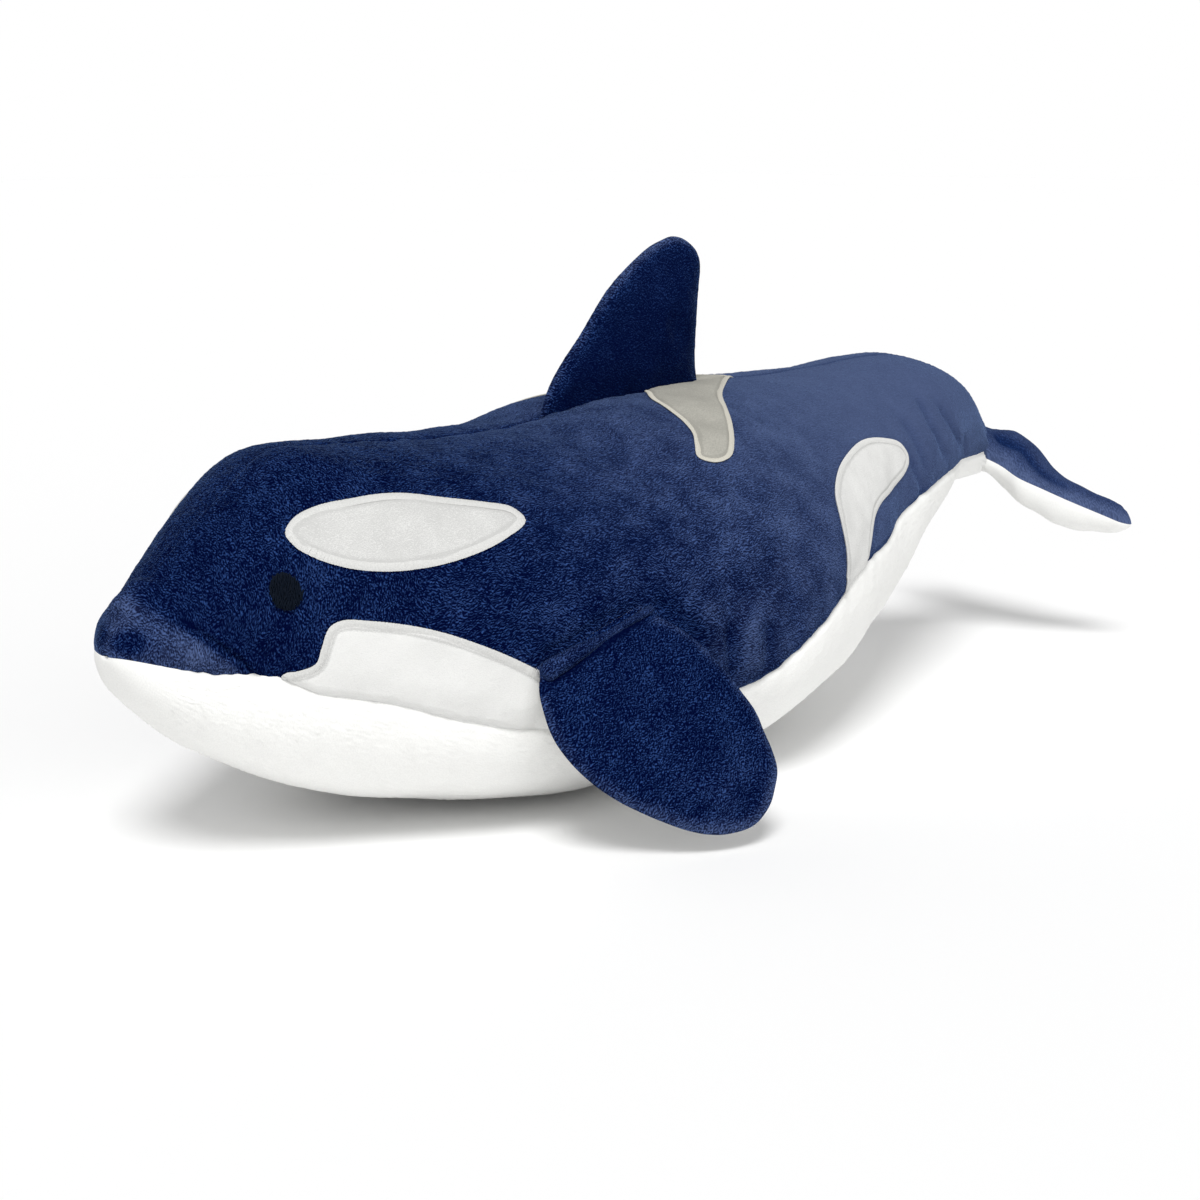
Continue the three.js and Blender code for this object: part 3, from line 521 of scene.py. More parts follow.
def pile(name, deep, light, deep_tips, light_tips, size, comb, relief, sheen, sheen_tint):
    """Short pile. The tone attribute says how light it is, from deep to light: partly how far it is
    brushed up, partly painted light and shade; nap where it lies aslant, and fluff how far its
    clumps stand out."""
    s = Shader(bpy.data.materials.new(name))
    flat = s.add("ShaderNodeUVMap", uv_map="Cloth")
    tone, nap, fluff = (s.add("ShaderNodeAttribute", out="Fac", attribute_name=key)
                        for key in ("tone", "nap", "fluff"))
    swirl = s.noise(flat, 16.0, out=1)
    lean = s.add("ShaderNodeVectorMath", {0: swirl, "Scale": 0.03}, operation="SCALE")
    cloth = s.add("ShaderNodeVectorMath", {0: flat, 1: lean}, operation="ADD")
    cloud = s.noise(flat, 8.0, 4.0, 0.55)
    height = clumps(s, cloth, s.ramp(nap + (cloud - 0.5) * 0.8, 0.35, 0.65), size, comb)
    shade = s.ramp(tone + (cloud - 0.5) * 0.5 * fluff, -0.1, 1.1)
    # painted shade in the gaps between clumps and painted highlights on their tips
    tuft = s.ramp(height + shade * 0.12 + (cloud - 0.5) * 0.15, 0.46, 0.71)
    ground = s.mix(shade * shade, colour(deep), colour(light))
    tips = s.mix(shade, colour(deep_tips), colour(light_tips))
    base = s.mix(((tuft - 0.4) * fluff + 0.4) * s.ramp(tone, -1.0, 0.0), ground, tips)
    return s.fibres(base, height, 1.0, relief, {
        "Roughness": 0.9, "Specular IOR Level": 0.0, "Sheen Weight": sheen,
        "Sheen Roughness": 0.2, "Sheen Tint": colour(sheen_tint)})


def spun(name, base, shade, grain, limits, bump, rough, specular):
    """Thread or loose fibre: its grain is painted darker in the gaps, as shade between the fibres.
    """
    s = Shader(bpy.data.materials.new(name))
    height = s.noise(s.add("ShaderNodeTexCoord", out="Object"), *grain)
    tint = s.mix(s.ramp(height, *limits), colour(base, shade), colour(base))
    return s.fibres(tint, height, *bump, {"Roughness": rough, "Specular IOR Level": specular})


FINISHES = {}


def material(name):
    """The finish by that name, made when it is first asked for."""
    if name not in FINISHES:
        make, *details = finish_recipes(bpy.context.scene.whale_colours)[name]
        FINISHES[name] = make(name, *details)
    return FINISHES[name]


def finish_recipes(c):
    """The function that makes each finish, and what it is given."""

    def navy(comb, sheen):
        return (pile, c.navy_deep, c.navy_light, c.navy_deep_tips, c.navy_light_tips,
                0.85 * MM, comb, 0.5 * MM, sheen, c.navy_sheen)

    def pale(rgb, shadow, clump, relief):
        shares = (shadow, 0.98, (1 + shadow) / 2, 1.03)
        shades = [[min(1, v * share) for v in rgb] for share in shares]
        return (pile, *shades, clump, 0.3, relief, 0.03, (1, 1, 1))

    def satin(rgb, rough, specular):
        return spun, rgb, 0.86, (2600.0, 2.0), (0.3, 0.75), (0.35, 0.1 * MM), rough, specular

    return {
        "body pile": navy(0.6, 0.35),
        "fin pile": navy(0.3, 0.2),
        "belly pile": pale(c.white, 0.96, 0.9 * MM, 0.1 * MM),
        "patch pile": pale(c.patch_white, 0.70, 0.5 * MM, 0.15 * MM),
        "saddle pile": pale(c.grey, 0.72, 0.8 * MM, 0.4 * MM),
        "white satin": satin(c.white_thread, 0.5, 0.45),
        "cream satin": satin(c.cream_thread, 0.5, 0.45),
        "eye satin": satin(c.eye_thread, 0.6, 0.06),
        "wadding": (
            spun, c.filling, 0.82, (180.0, 5.0, 0.7), (0.3, 0.7), (0.8, 1.5 * MM), 0.95, 0.1),
    }


# Meshes


def mesh_object(name, points, faces, cloth, tone, nap, finish, fluff=1.0):
    """A piece from points and faces, with its cloth map and the attributes of its pile."""
    mesh = bpy.data.meshes.new(name)
    mesh.from_pydata(points.reshape(-1, 3).tolist(), [], faces)
    corners = np.zeros(len(mesh.loops), np.int32)
    mesh.loops.foreach_get("vertex_index", corners)
    layer = mesh.uv_layers.new(name="Cloth")
    layer.data.foreach_set("uv", cloth.reshape(-1, 2)[corners].astype(np.float32).ravel())
    for key, values in (("tone", tone), ("nap", nap), ("fluff", fluff)):
        attribute = mesh.attributes.new(key, "FLOAT", "POINT")
        full = np.broadcast_to(np.ravel(values), len(mesh.vertices))
        attribute.data.foreach_set("value", full.astype(np.float32))
    mesh.polygons.foreach_set("use_smooth", np.ones(len(mesh.polygons), bool))
    mesh.validate()
    mesh.update()
    mesh.materials.append(material(finish))
    return placed(name, mesh)


def placed(name, data):
    """A new object in the scene."""
    result = bpy.data.objects.new(name, data)
    bpy.context.scene.collection.objects.link(result)
    return result


def turned(faces, flip):
    """The faces, turned over where flip is true."""
    return [face[::-1] for face in faces] if flip else faces


def grid_faces(rows, columns, pole=False):
    """Quads over a grid whose faces point along columns cross rows. With a pole, row 0 is one
    point."""
    index = np.arange(rows * columns).reshape(rows, columns)
    if pole:
        index[0] = index[0, 0]
    a, b = index[:-1, :-1], index[1:, :-1]
    c, d = index[1:, 1:], index[:-1, 1:]
    quads = np.stack([a, d, c, b], -1).reshape(-1, 4)
    return [list(dict.fromkeys(quad)) for quad in quads.tolist()]


def inward_ways(outline, reach=1):
    """Direction in the plane from each point of a closed outline to its inside."""
    x, y = outline.T
    turning = np.sign(np.sum(x * np.roll(y, -1) - np.roll(x, -1) * y))
    way = unit(np.roll(outline, -reach, 0) - np.roll(outline, reach, 0))
    return np.stack([-way[:, 1], way[:, 0]], -1) * turning


def fill_outline(outline, spacing, rings):
    """Points and triangles that fill a closed outline in the plane, with rings of points inside
    it at distances in millimetres."""
    outline = resample(outline, spacing)
    inward = inward_ways(outline)
    least = 0.93  # share of its distance that a ring's point keeps where the outline is hollow
    inner = []
    for ring in (r * MM for r in rings):
        moved = outline + inward * ring
        inner.append(moved[distance_to_path(moved, outline, True)[0] > least * ring])
    low, high = outline.min(0), outline.max(0)
    rows = []
    for i, level in enumerate(np.arange(low[1], high[1], spacing * math.sqrt(3) / 2)):
        row = np.arange(low[0] + (i % 2) * spacing / 2, high[0], spacing)
        rows.append(np.stack([row, np.full(len(row), level)], -1))
    hexes = np.concatenate(rows)
    keep = distance_to_path(hexes, outline, True)[0] > rings[-1] * MM + 0.6 * spacing
    points = np.concatenate([outline, *inner, hexes[keep & inside(hexes, outline)]])
    edges = [(i, (i + 1) % len(outline)) for i in range(len(outline))]
    made = delaunay_2d_cdt([Vector(p) for p in points], edges, [], 1, spacing * 0.05)
    return np.array([tuple(v) for v in made[0]]), [list(f) for f in made[2]], outline


def inside(points, outline):
    """Which points lie inside a closed outline."""
    result = np.zeros(len(points), bool)
    for (x0, y0), (x1, y1) in zip(outline, np.roll(outline, -1, 0)):
        crosses = (y0 > points[:, 1]) != (y1 > points[:, 1])
        with np.errstate(divide="ignore", invalid="ignore"):
            at = x0 + (points[:, 1] - y0) * (x1 - x0) / (y1 - y0)
        result ^= crosses & (points[:, 0] < at)
    return result


def resample(outline, spacing):
    """Even points round a closed outline."""
    closed = np.vstack([outline, outline[:1]])
    run = np.concatenate([[0], np.cumsum(np.linalg.norm(np.diff(closed, axis=0), axis=1))])
    count = max(12, int(run[-1] / spacing))
    wanted = np.linspace(0, run[-1], count, endpoint=False)
    return np.stack([np.interp(wanted, run, closed[:, k]) for k in (0, 1)], -1)


def smooth_outline(points, per_span=12):
    """A round closed outline through its control points."""
    points = np.asarray(points, float)
    p0, p1 = np.roll(points, 1, 0), points
    p2, p3 = np.roll(points, -1, 0), np.roll(points, -2, 0)
    k0, k1, k2 = (
        np.sqrt(np.linalg.norm(b - a, axis=1))[:, None]
        for a, b in ((p0, p1), (p1, p2), (p2, p3)))
    m1 = (p1 - p0) / k0 - (p2 - p0) / (k0 + k1) + (p2 - p1) / k1
    m2 = (p2 - p1) / k1 - (p3 - p1) / (k1 + k2) + (p3 - p2) / k2
    m1, m2 = m1 * k1, m2 * k1
    spans = []
    for t in np.arange(per_span) / per_span:
        h = (2 * t**3 - 3 * t**2 + 1, t**3 - 2 * t**2 + t, -2 * t**3 + 3 * t**2, t**3 - t**2)
        spans.append(h[0] * p1 + h[1] * m1 + h[2] * p2 + h[3] * m2)
    return np.stack(spans, 1).reshape(-1, 2)


# Stitches


def stitch_tree():
    """Geometry nodes that lay one thread over each point of a mesh."""
    name = "Satin stitches"
    if name in bpy.data.node_groups:
        return bpy.data.node_groups[name]
    tree = bpy.data.node_groups.new(name, "GeometryNodeTree")
    sockets = {
        "Places": "Geometry", "Length": "Float", "Crown": "Float", "Thickness": "Float",
        "Unevenness": "Float", "Thread": "Material",
    }
    for socket, kind in sockets.items():
        tree.interface.new_socket(socket, in_out="INPUT", socket_type="NodeSocket" + kind)
    tree.interface.new_socket("Stitches", in_out="OUTPUT", socket_type="NodeSocketGeometry")
    g = Nodes(tree)
    places = g.add("NodeGroupInput")
    length, crown, thickness, unevenness, thread = (
        places.output(key) for key in ("Length", "Crown", "Thickness", "Unevenness", "Thread"))

    def point(x, z):
        return g.add("ShaderNodeCombineXYZ", {"X": length * x, "Z": crown * z})

    arc = g.add("GeometryNodeCurveQuadraticBezier", {
        "Resolution": 6, "Start": point(-0.5, 0), "Middle": point(0, 2), "End": point(0.5, 0)})
    ring = g.add("GeometryNodeCurvePrimitiveCircle", {"Resolution": 5, "Radius": thickness * 0.5})
    strand = g.add("GeometryNodeCurveToMesh", {
        "Curve": arc, "Profile Curve": ring, "Fill Caps": True})
    up, across = (
        g.add("GeometryNodeInputNamedAttribute", {"Name": key}, data_type="FLOAT_VECTOR")
        for key in ("up", "across"))
    turn = g.add("FunctionNodeAxesToRotation", {0: up, 1: across},
                 primary_axis="Z", secondary_axis="X")
    least, most = (
        g.add("ShaderNodeMath", {0: 1.0, 1: unevenness}, operation=operation)
        for operation in ("SUBTRACT", "ADD"))
    size = g.add("FunctionNodeRandomValue", {2: least, 3: most, "Seed": 4}, data_type="FLOAT")
    threads = g.add("GeometryNodeInstanceOnPoints", {
        "Points": places, "Instance": strand, "Rotation": turn, "Scale": size})
    real = g.add("GeometryNodeRealizeInstances", {0: threads})
    shade = g.add("GeometryNodeSetShadeSmooth", {0: real})
    done = g.add("GeometryNodeSetMaterial", {"Geometry": shade, "Material": thread})
    g.add("NodeGroupOutput", {"Stitches": done})
    return tree


def lay_stitches(name, points, across, up, values, finish):
    """A piece of threads, one over each point. The values are the threads' own sizes."""
    mesh = bpy.data.meshes.new(name + "_places")
    mesh.from_pydata(points.tolist(), [], [])
    for key, ways in (("across", across), ("up", up)):
        attribute = mesh.attributes.new(key, "FLOAT_VECTOR", "POINT")
        attribute.data.foreach_set("vector", ways.astype(np.float32).ravel())
    places = placed(name + "_places", mesh)
    modifier = places.modifiers.new("Stitches", "NODES")
    modifier.node_group = stitch_tree()
    values = {**values, "Unevenness": 0.04, "Thread": material(finish)}
    for item in modifier.node_group.interface.items_tree:
        if item.item_type == "SOCKET" and item.in_out == "INPUT" and item.name in values:
            modifier[item.identifier] = values[item.name]
    bpy.context.view_layer.update()
    evaluated = places.evaluated_get(bpy.context.evaluated_depsgraph_get())
    made = bpy.data.meshes.new_from_object(evaluated)
    made.name = name
    if not made.materials:
        made.materials.append(material(finish))
    bpy.data.objects.remove(places)
    return placed(name, made)


# Body cover


def body_tone_with_painted_light(body, along, angle, points):
    """How light the navy panels are, from -1 to 1: partly how their pile is brushed, partly painted
    light and shade.
    """
    level = points[..., 2]
    # lighter towards the tail, partly the pile's nap and partly painted sheen where it is seen
    # aslant; lighter before the dart but for its upper end, and darker just behind it
    tone = -0.05 + 0.69 * smooth_step(along, 40 * MM, 340 * MM)
    dart = np.interp(level, np.array(DART_LEVELS) * MM, np.array(DART_PLACES) * MM)
    before_dart = 1 - smooth_step(along, dart - 4 * MM, dart + 1.5 * MM)
    tone += 0.46 * before_dart * (1 - 0.9 * smooth_step(level, 74 * MM, 90 * MM))
    tone -= 0.25 * bell(along - dart - 10 * MM, 12 * MM)
    # painted shade in the dart's own crease
    for side in (LEFT, RIGHT):
        crease = distance_to_path(points, body.fold_path(FOLDS["snout dart"][0], side))[0]
        tone -= 0.9 * bell(crease, body.seam_line)
    # painted light on the back, where the light from above falls, and painted shade along the seams
    # and in the dimple at the snout's tip
    high = smooth_step(level, 75 * MM, 125 * MM)
    tone += 0.12 * high * smooth_step(along, 80 * MM, 160 * MM)
    from_belly = np.abs(np.abs(angle) - body.seam_angle(along)) * 60 * MM
    from_seam = np.minimum(np.abs(points[..., 1]), from_belly)
    tone -= 0.3 * bell(from_seam, 1.6 * MM) * smooth_step(along, 60 * MM, 95 * MM)
    dimple = np.abs(points - [body.front + 2.3 * MM, 0, 73.5 * MM]) - [0, 8 * MM, 0]
    tone -= 0.8 * np.exp(-np.sum((dimple / [7 * MM, 6 * MM, 3 * MM]) ** 2, -1))
    # painted shade in the hollows of the folds and painted light on their ridges
    return np.clip(tone + 120 * body.fold_relief(points), -1, 1)


def cover_grid(body, start_angle, end_angle, step, columns):
    """Even grid over the cover between two angles that change along it."""
    rounded, face_end = body.sizes.snout_rounding, 50 * MM
    first = rounded * (1 - np.cos(np.linspace(0, math.pi / 2, 16)))
    face = np.arange(rounded, face_end, 0.6 * step)
    count = int((body.length - face[-1]) / step)
    rest = np.linspace(face[-1], body.length - 0.05 * MM, count)
    places = np.concatenate([first[:-1], face, rest[1:]])
    dense = np.linspace(0, 1, 241)
    low, high = start_angle(places)[:, None], end_angle(places)[:, None]
    angles = low + (high - low) * dense
    lines = body.form(np.repeat(places[:, None], len(dense), 1), angles)
    steps = np.linalg.norm(np.diff(lines, axis=1), axis=-1)
    run = np.concatenate([np.zeros((len(places), 1)), np.cumsum(steps, 1)], 1)
    even, crowding = np.linspace(0, 1, columns), 0.35  # columns lie closer beside the seams
    share = even - crowding * np.sin(math.tau * even) / math.tau
    girth = share * run[:, -1:]
    run[run[:, -1] < 1e-9] = dense
    picked = np.stack([np.interp(share * r[-1], r, a) for r, a in zip(run, angles)])
    return np.repeat(places[:, None], columns, 1), picked, girth


def turned_in(points, normals, depth):
    """Adds the seam allowance: rows at each side edge that turn inside, to each depth."""
    rows = []
    slant = 0.15
    for edge, inner in ((0, 1), (-1, -2)):
        own = unit(points[:, inner] - points[:, edge])
        rows.append([points[:, edge] - normals[:, edge] * d + own * slant * d for d in depth])
    left = [row[:, None] for row in reversed(rows[0])]
    right = [row[:, None] for row in rows[1]]
    return np.concatenate([*left, points, *right], 1)


def cover_panel(name, body, start_angle, end_angle, columns, finish, tone, side):
    """A panel of the cover. Its cloth map starts at the back seam, or at the middle of the belly
    when side is 0."""
    sizes = body.sizes
    along, angle, girth = cover_grid(body, start_angle, end_angle, sizes.cover_step, columns)
    points, normals = body.surface(along, angle)
    rng = np.random.default_rng(7)
    uneven = rng.normal(0, sizes.pile_unevenness, points.shape[:2])
    uneven = uneven * smooth_step(along, 2 * MM, 16 * MM)
    from_edge = np.minimum(np.arange(columns), np.arange(columns)[::-1])
    points += normals * (uneven * smooth_step(from_edge, 1, 6))[..., None]
    points[..., 2] = np.maximum(points[..., 2], 0)
    allowance = (1 * MM, 2.4 * MM)
    full = turned_in(points, normals, allowance)

    def wide(values):
        return np.pad(values, ((0, 0), (len(allowance), len(allowance))), mode="edge")

    middle = points[:, columns // 2]
    steps = np.linalg.norm(np.diff(middle, axis=0), axis=1)
    run = np.concatenate([[0], np.cumsum(steps)])
    girth = girth * side if side else girth - girth[:, -1:] / 2
    cloth = np.stack([wide(np.repeat(run[:, None], columns, 1)), wide(girth)], -1) / CLOTH_UNIT
    nap = 1 - smooth_step(along, 45 * MM, 110 * MM)
    high = smooth_step(points[..., 2], 70 * MM, 125 * MM)
    fluff = 1 - 0.62 * smooth_step(along, 170 * MM, 330 * MM)
    fluff -= 0.2 * (high * smooth_step(along, 90 * MM, 150 * MM))
    faces = turned(grid_faces(*full.shape[:2], pole=True), side != LEFT)
    shade = tone(along, angle, points)
    return mesh_object(name, full, faces, cloth, wide(shade), wide(nap), finish, wide(fluff))


def filling_piece(name, points, faces, nodes, body_name, bend=None):
    """Closed wad of fibre inside a cover."""
    flat = np.zeros((len(points.reshape(-1, 3)), 2))
    piece = mesh_object(name, points, faces, flat, 0.5, 0.0, "wadding")
    return attach(piece, body_name, nodes, bend=bend)


def attach(piece, body_name, nodes=(), bend=None):
    """Carry a piece on a body, or, when bend is given, bake its place into its points and leave it
    on no body; the two points of bend are not used.
    """
    if bend:
        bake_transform(piece)
    else:
        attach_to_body(piece, body_name)
    if nodes:
        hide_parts(*nodes)
    return piece


def the_body():
    """The body, worked out once."""
    if "body" not in CACHE:
        CACHE["body"] = Body(bpy.context.scene.whale_sizes)
    return CACHE["body"]


def make_body_filling(body, inset):
    """One closed wad that lies inside all three panels of the body."""
    rows, columns = 90, 64
    along = np.linspace(inset, body.length - inset, rows)[:, None] + np.zeros((1, columns))
    around = np.linspace(0, math.tau, columns, endpoint=False)
    angle = around[None] + np.zeros((rows, 1))
    points = body.form(along, angle) - body.normal(along, angle) * inset
    points += body.normal(along, angle) * 0.4 * MM * soft_lumps(points, 14 * MM, 3)[..., None]
    points[..., 2] = np.maximum(points[..., 2], inset * 0.6)
    index = np.arange(rows * columns).reshape(rows, columns)
    index = np.concatenate([index, index[:, :1]], 1)
    quads = np.stack([index[1:, :-1], index[1:, 1:], index[:-1, 1:], index[:-1, :-1]], -1)
    caps = [index[0, :-1].tolist(), index[-1, -2::-1].tolist()]
    faces = quads.reshape(-1, 4).tolist() + caps
    return filling_piece("body_filling", points, faces, ["body_stuffing"], "trunk")


# Patches


class Patch:
    """A patch sewn on the cover, drawn in the plane of the view that its outline is cut in."""

    least_height = 0.35 * MM  # over the cover, at its edge and in its groove
    groove_width = 0.5 * MM  # half width of the groove along the inside of the border
    overlap = 0.15 * MM  # how far the border's stitches reach out of the outline

    def __init__(self, name, side, body, outline, from_above, raised, spacing, tone=0.0):
        self.name, self.side, self.body, self.from_above = name, side, body, from_above
        self.raised, self.tone = raised, tone
        if not from_above:
            floor = body.seam_level(outline[:, 0]) - 0.4 * MM
            outline = np.stack([outline[:, 0], np.maximum(outline[:, 1], floor)], -1)
        self.plane, self.faces, self.outline = fill_outline(outline, spacing, PATCH_RINGS)

    def on_cover(self, plane):
        """Points and outward directions of the cover under points of the plane."""
        along = plane[..., 0]
        if self.from_above:
            angle = self.body.angle_across(along, self.side * np.abs(plane[..., 1]))
        else:
            angle = self.body.angle_at(along, plane[..., 1], self.side)
        return self.body.surface(along, angle)

    def sewn(self, plane):
        """Which outline points have a stitched border, and not the seam of a panel."""
        if self.from_above:
            return np.abs(plane[:, 1]) > 0.8 * MM
        return plane[:, 1] > self.body.seam_level(plane[:, 0]) + 0.35 * MM

    def mesh(self, suffix, points, normals, tone, nap, finish):
        """A piece of the patch whose faces look the way of the normals."""
        a, b, c = (points[[face[k] for face in self.faces]] for k in range(3))
        outward = normals[[face[0] for face in self.faces]]
        flip = np.mean(np.sum(np.cross(b - a, c - a) * outward, -1)) < 0
        faces, cloth = turned(self.faces, flip), self.plane / CLOTH_UNIT
        return mesh_object(self.name + suffix, points, faces, cloth, tone, nap, finish)

    def cloth(self, finish, slot, border):
        """The patch's cloth, which is held down at its border and swells inside it."""
        points, normals = self.on_cover(self.plane)
        edge = self.on_cover(self.outline)[0]
        distance = distance_to_path(points, edge, True)[0]
        to_border = self.border_distance(points, edge, self.sewn(self.outline))
        height = self.raised * smooth_step(distance, -0.2 * MM, 1.2 * MM)
        groove = bell(to_border - border * 1.05, self.groove_width)
        under = 1 - smooth_step(to_border, 0.5 * border, 1.05 * border)
        height -= 0.3 * self.raised * groove + 0.55 * self.raised * under
        rng = np.random.default_rng(len(self.name))
        height += rng.normal(0, 0.04 * MM, len(height)) * (to_border > border)
        height += 0.25 * MM * soft_lumps(points, 16 * MM, 21)
        points = points + normals * np.maximum(height, self.least_height)[:, None]
        # painted shade in the groove inside the border
        piece = self.mesh("_cloth", points, normals, self.tone - 0.8 * groove, 0.3, finish)
        return attach(piece, "trunk", [self.name])

    def border_distance(self, points, edge, sewn):
        """Distance to the stitched part of the outline."""
        best = np.full(len(points), 1.0)
        for i in np.flatnonzero(sewn & np.roll(sewn, -1)):
            a, b = edge[i], edge[(i + 1) % len(edge)]
            t = np.clip(((points - a) @ (b - a)) / max(np.dot(b - a, b - a), 1e-12), 0, 1)
            best = np.minimum(best, np.linalg.norm(points - a - t[:, None] * (b - a), axis=1))
        return best

    def stitches(self, finish, slot, width, thread):
        """Satin stitches of a width, laid across the sewn part of the outline."""
        fine = resample(self.outline, 0.1 * MM)
        edge, normals = self.on_cover(fine)
        step = np.linalg.norm(np.roll(edge, -1, 0) - edge, axis=1)
        run = np.concatenate([[0], np.cumsum(step)[:-1]])
        total = step.sum()
        wanted = np.arange(0, total, thread.pitch)
        pick = np.clip(np.searchsorted(run, wanted), 0, len(run) - 1)
        pick = pick[self.sewn(fine)[pick]]
        reach = max(3, int(1.2 * MM / (total / len(fine))))
        way = unit(edge[(pick + reach) % len(edge)] - edge[pick - reach])
        up = normals[pick]
        inward = unit(np.cross(up, way))
        probe = self.on_cover(fine[pick] + inward_ways(fine, 3)[pick] * (0.3 * MM))[0]
        sign = np.sign(np.sum((probe - edge[pick]) * inward, -1))[:, None]
        inward = inward * np.where(sign == 0, 1, sign)
        places = edge[pick] + inward * (width / 2 - self.overlap) + up * 0.4 * self.raised
        values = {"Length": width, "Crown": thread.crown, "Thickness": thread.thickness}
        piece = lay_stitches(self.name + "_border", places, inward, up, values, finish)
        return attach(piece, "trunk")


def patch_outlines(body, sizes):
    """Outline of each kind of patch in the plane that it is drawn in."""
    outlines = {}
    for kind, (shares, place) in FLANK_PATCHES.items():
        extent = [getattr(sizes, kind + "_length"), getattr(sizes, kind + "_height")]
        middle = np.array([place[0] * body.length, body.level(place[1])])
        outlines[kind] = smooth_outline(np.array(shares) * extent + middle)
    start = sizes.saddle_place * body.length
    half = np.array(SADDLE_PATCH_SHARES) * [sizes.saddle_length, sizes.saddle_reach] + [start, 0]
    saddle = smooth_outline(np.concatenate([half, half[-2:0:-1] * [1, -1]]))
    outlines["saddle_patch"] = saddle[saddle[:, 1] >= -0.01 * MM]
    return outlines


def make_eye(body, sizes, side):
    """A filled oval of satin thread."""
    turn = -sizes.eye_tilt
    centre = np.array([EYE_PLACE[0] * body.length, body.level(EYE_PLACE[1])])
    basis = np.array([[math.cos(turn), math.sin(turn)], [-math.sin(turn), math.cos(turn)]])
    angles = np.linspace(0, math.tau, 40, endpoint=False)
    half_width, half_height = sizes.eye_width / 2, sizes.eye_height / 2
    oval = np.stack([np.cos(angles) * half_width, np.sin(angles) * half_height], -1)
    name = f"eye_{SIDE_NAMES[side]}"
    patch = Patch(name, side, body, oval @ basis + centre, False, 0.8 * MM, EYE_STEP)
    points, normals = patch.on_cover(patch.plane)
    distance = distance_to_path(points, patch.on_cover(patch.outline)[0], True)[0]
    rim, dome = 0.15 * MM, 0.55 * MM
    height = rim + dome * smooth_step(distance, 0, 1.5 * MM)
    pad = patch.mesh("_pad", points + normals * height[:, None], normals, 0.3, 0.0, "eye satin")
    attach(pad, "trunk", [name])
    pitch, length, uneven = 0.42 * MM, 2.9 * MM, 0.12 * MM
    end = 0.42 * length  # how near to the oval's rim the middle of a stitch may lie
    places = []
    rng = np.random.default_rng(3)
    for i, x in enumerate(np.arange(-half_width, half_width + pitch, pitch)):
        half = half_height * math.sqrt(max(0, 1 - (2 * x / sizes.eye_width) ** 2))
        for y in np.arange(-half - (i % 3) * length / 3, half + length / 2, length * 0.86):
            y = np.clip(y, -half + end, half - end) if half > end else 0
            places.append((x + rng.normal(0, 0.05 * MM), y + rng.normal(0, uneven)))
    plane = np.array(places) @ basis + centre
    spots, ups = patch.on_cover(plane)
    ahead = patch.on_cover(plane + basis[1] * 0.5 * MM)[0]
    across = unit(ahead - spots + rng.normal(0, uneven, spots.shape))
    spots = spots + ups * (0.62 * MM + rng.uniform(0, 0.2 * MM, len(spots)))[:, None]
    values = {"Length": length, "Crown": 0.3 * MM, "Thickness": 0.5 * MM}
    stitches = lay_stitches(name + "_stitches", spots, across, ups, values, "eye satin")
    attach(stitches, "trunk")


# Fins


class Pillow:
    """A stuffed shape of two panels, drawn in its own plane: X across it and Y out from its
    root. Its axes are rows, and the third one looks out of its face."""

    fullness = 0.62  # how quickly it swells from its seam: 0.5 is round, 1 is flatter

    def __init__(self, origin, axes, outline, spacing):
        self.origin, self.axes = origin, axes
        self.plane, self.faces, self.outline = fill_outline(outline, spacing, FIN_RINGS)
        self.flat = np.concatenate([self.plane, np.zeros((len(self.plane), 1))], 1)

    def swelling(self, distance, half, full):
        """Height at a distance from the seam, where half the width away it is full."""
        return full * (1 - (1 - np.clip(distance / half, 0, 1)) ** 2) ** self.fullness

    def world(self, plane, height):
        return self.origin + np.concatenate([plane, height[:, None]], 1) @ self.axes

    def cover(self, name, direction, height, tone, finish, fluff):
        """The panel at a height over the plane, whose faces look along the direction."""
        a, b, c = self.flat[self.faces[0]]
        flip = (direction * np.linalg.det(self.axes) < 0) ^ (np.cross(b - a, c - a)[2] < 0)
        points, cloth = self.world(self.plane, height), self.plane / CLOTH_UNIT
        return mesh_object(name, points, turned(self.faces, flip), cloth, tone, 0.0, finish, fluff)


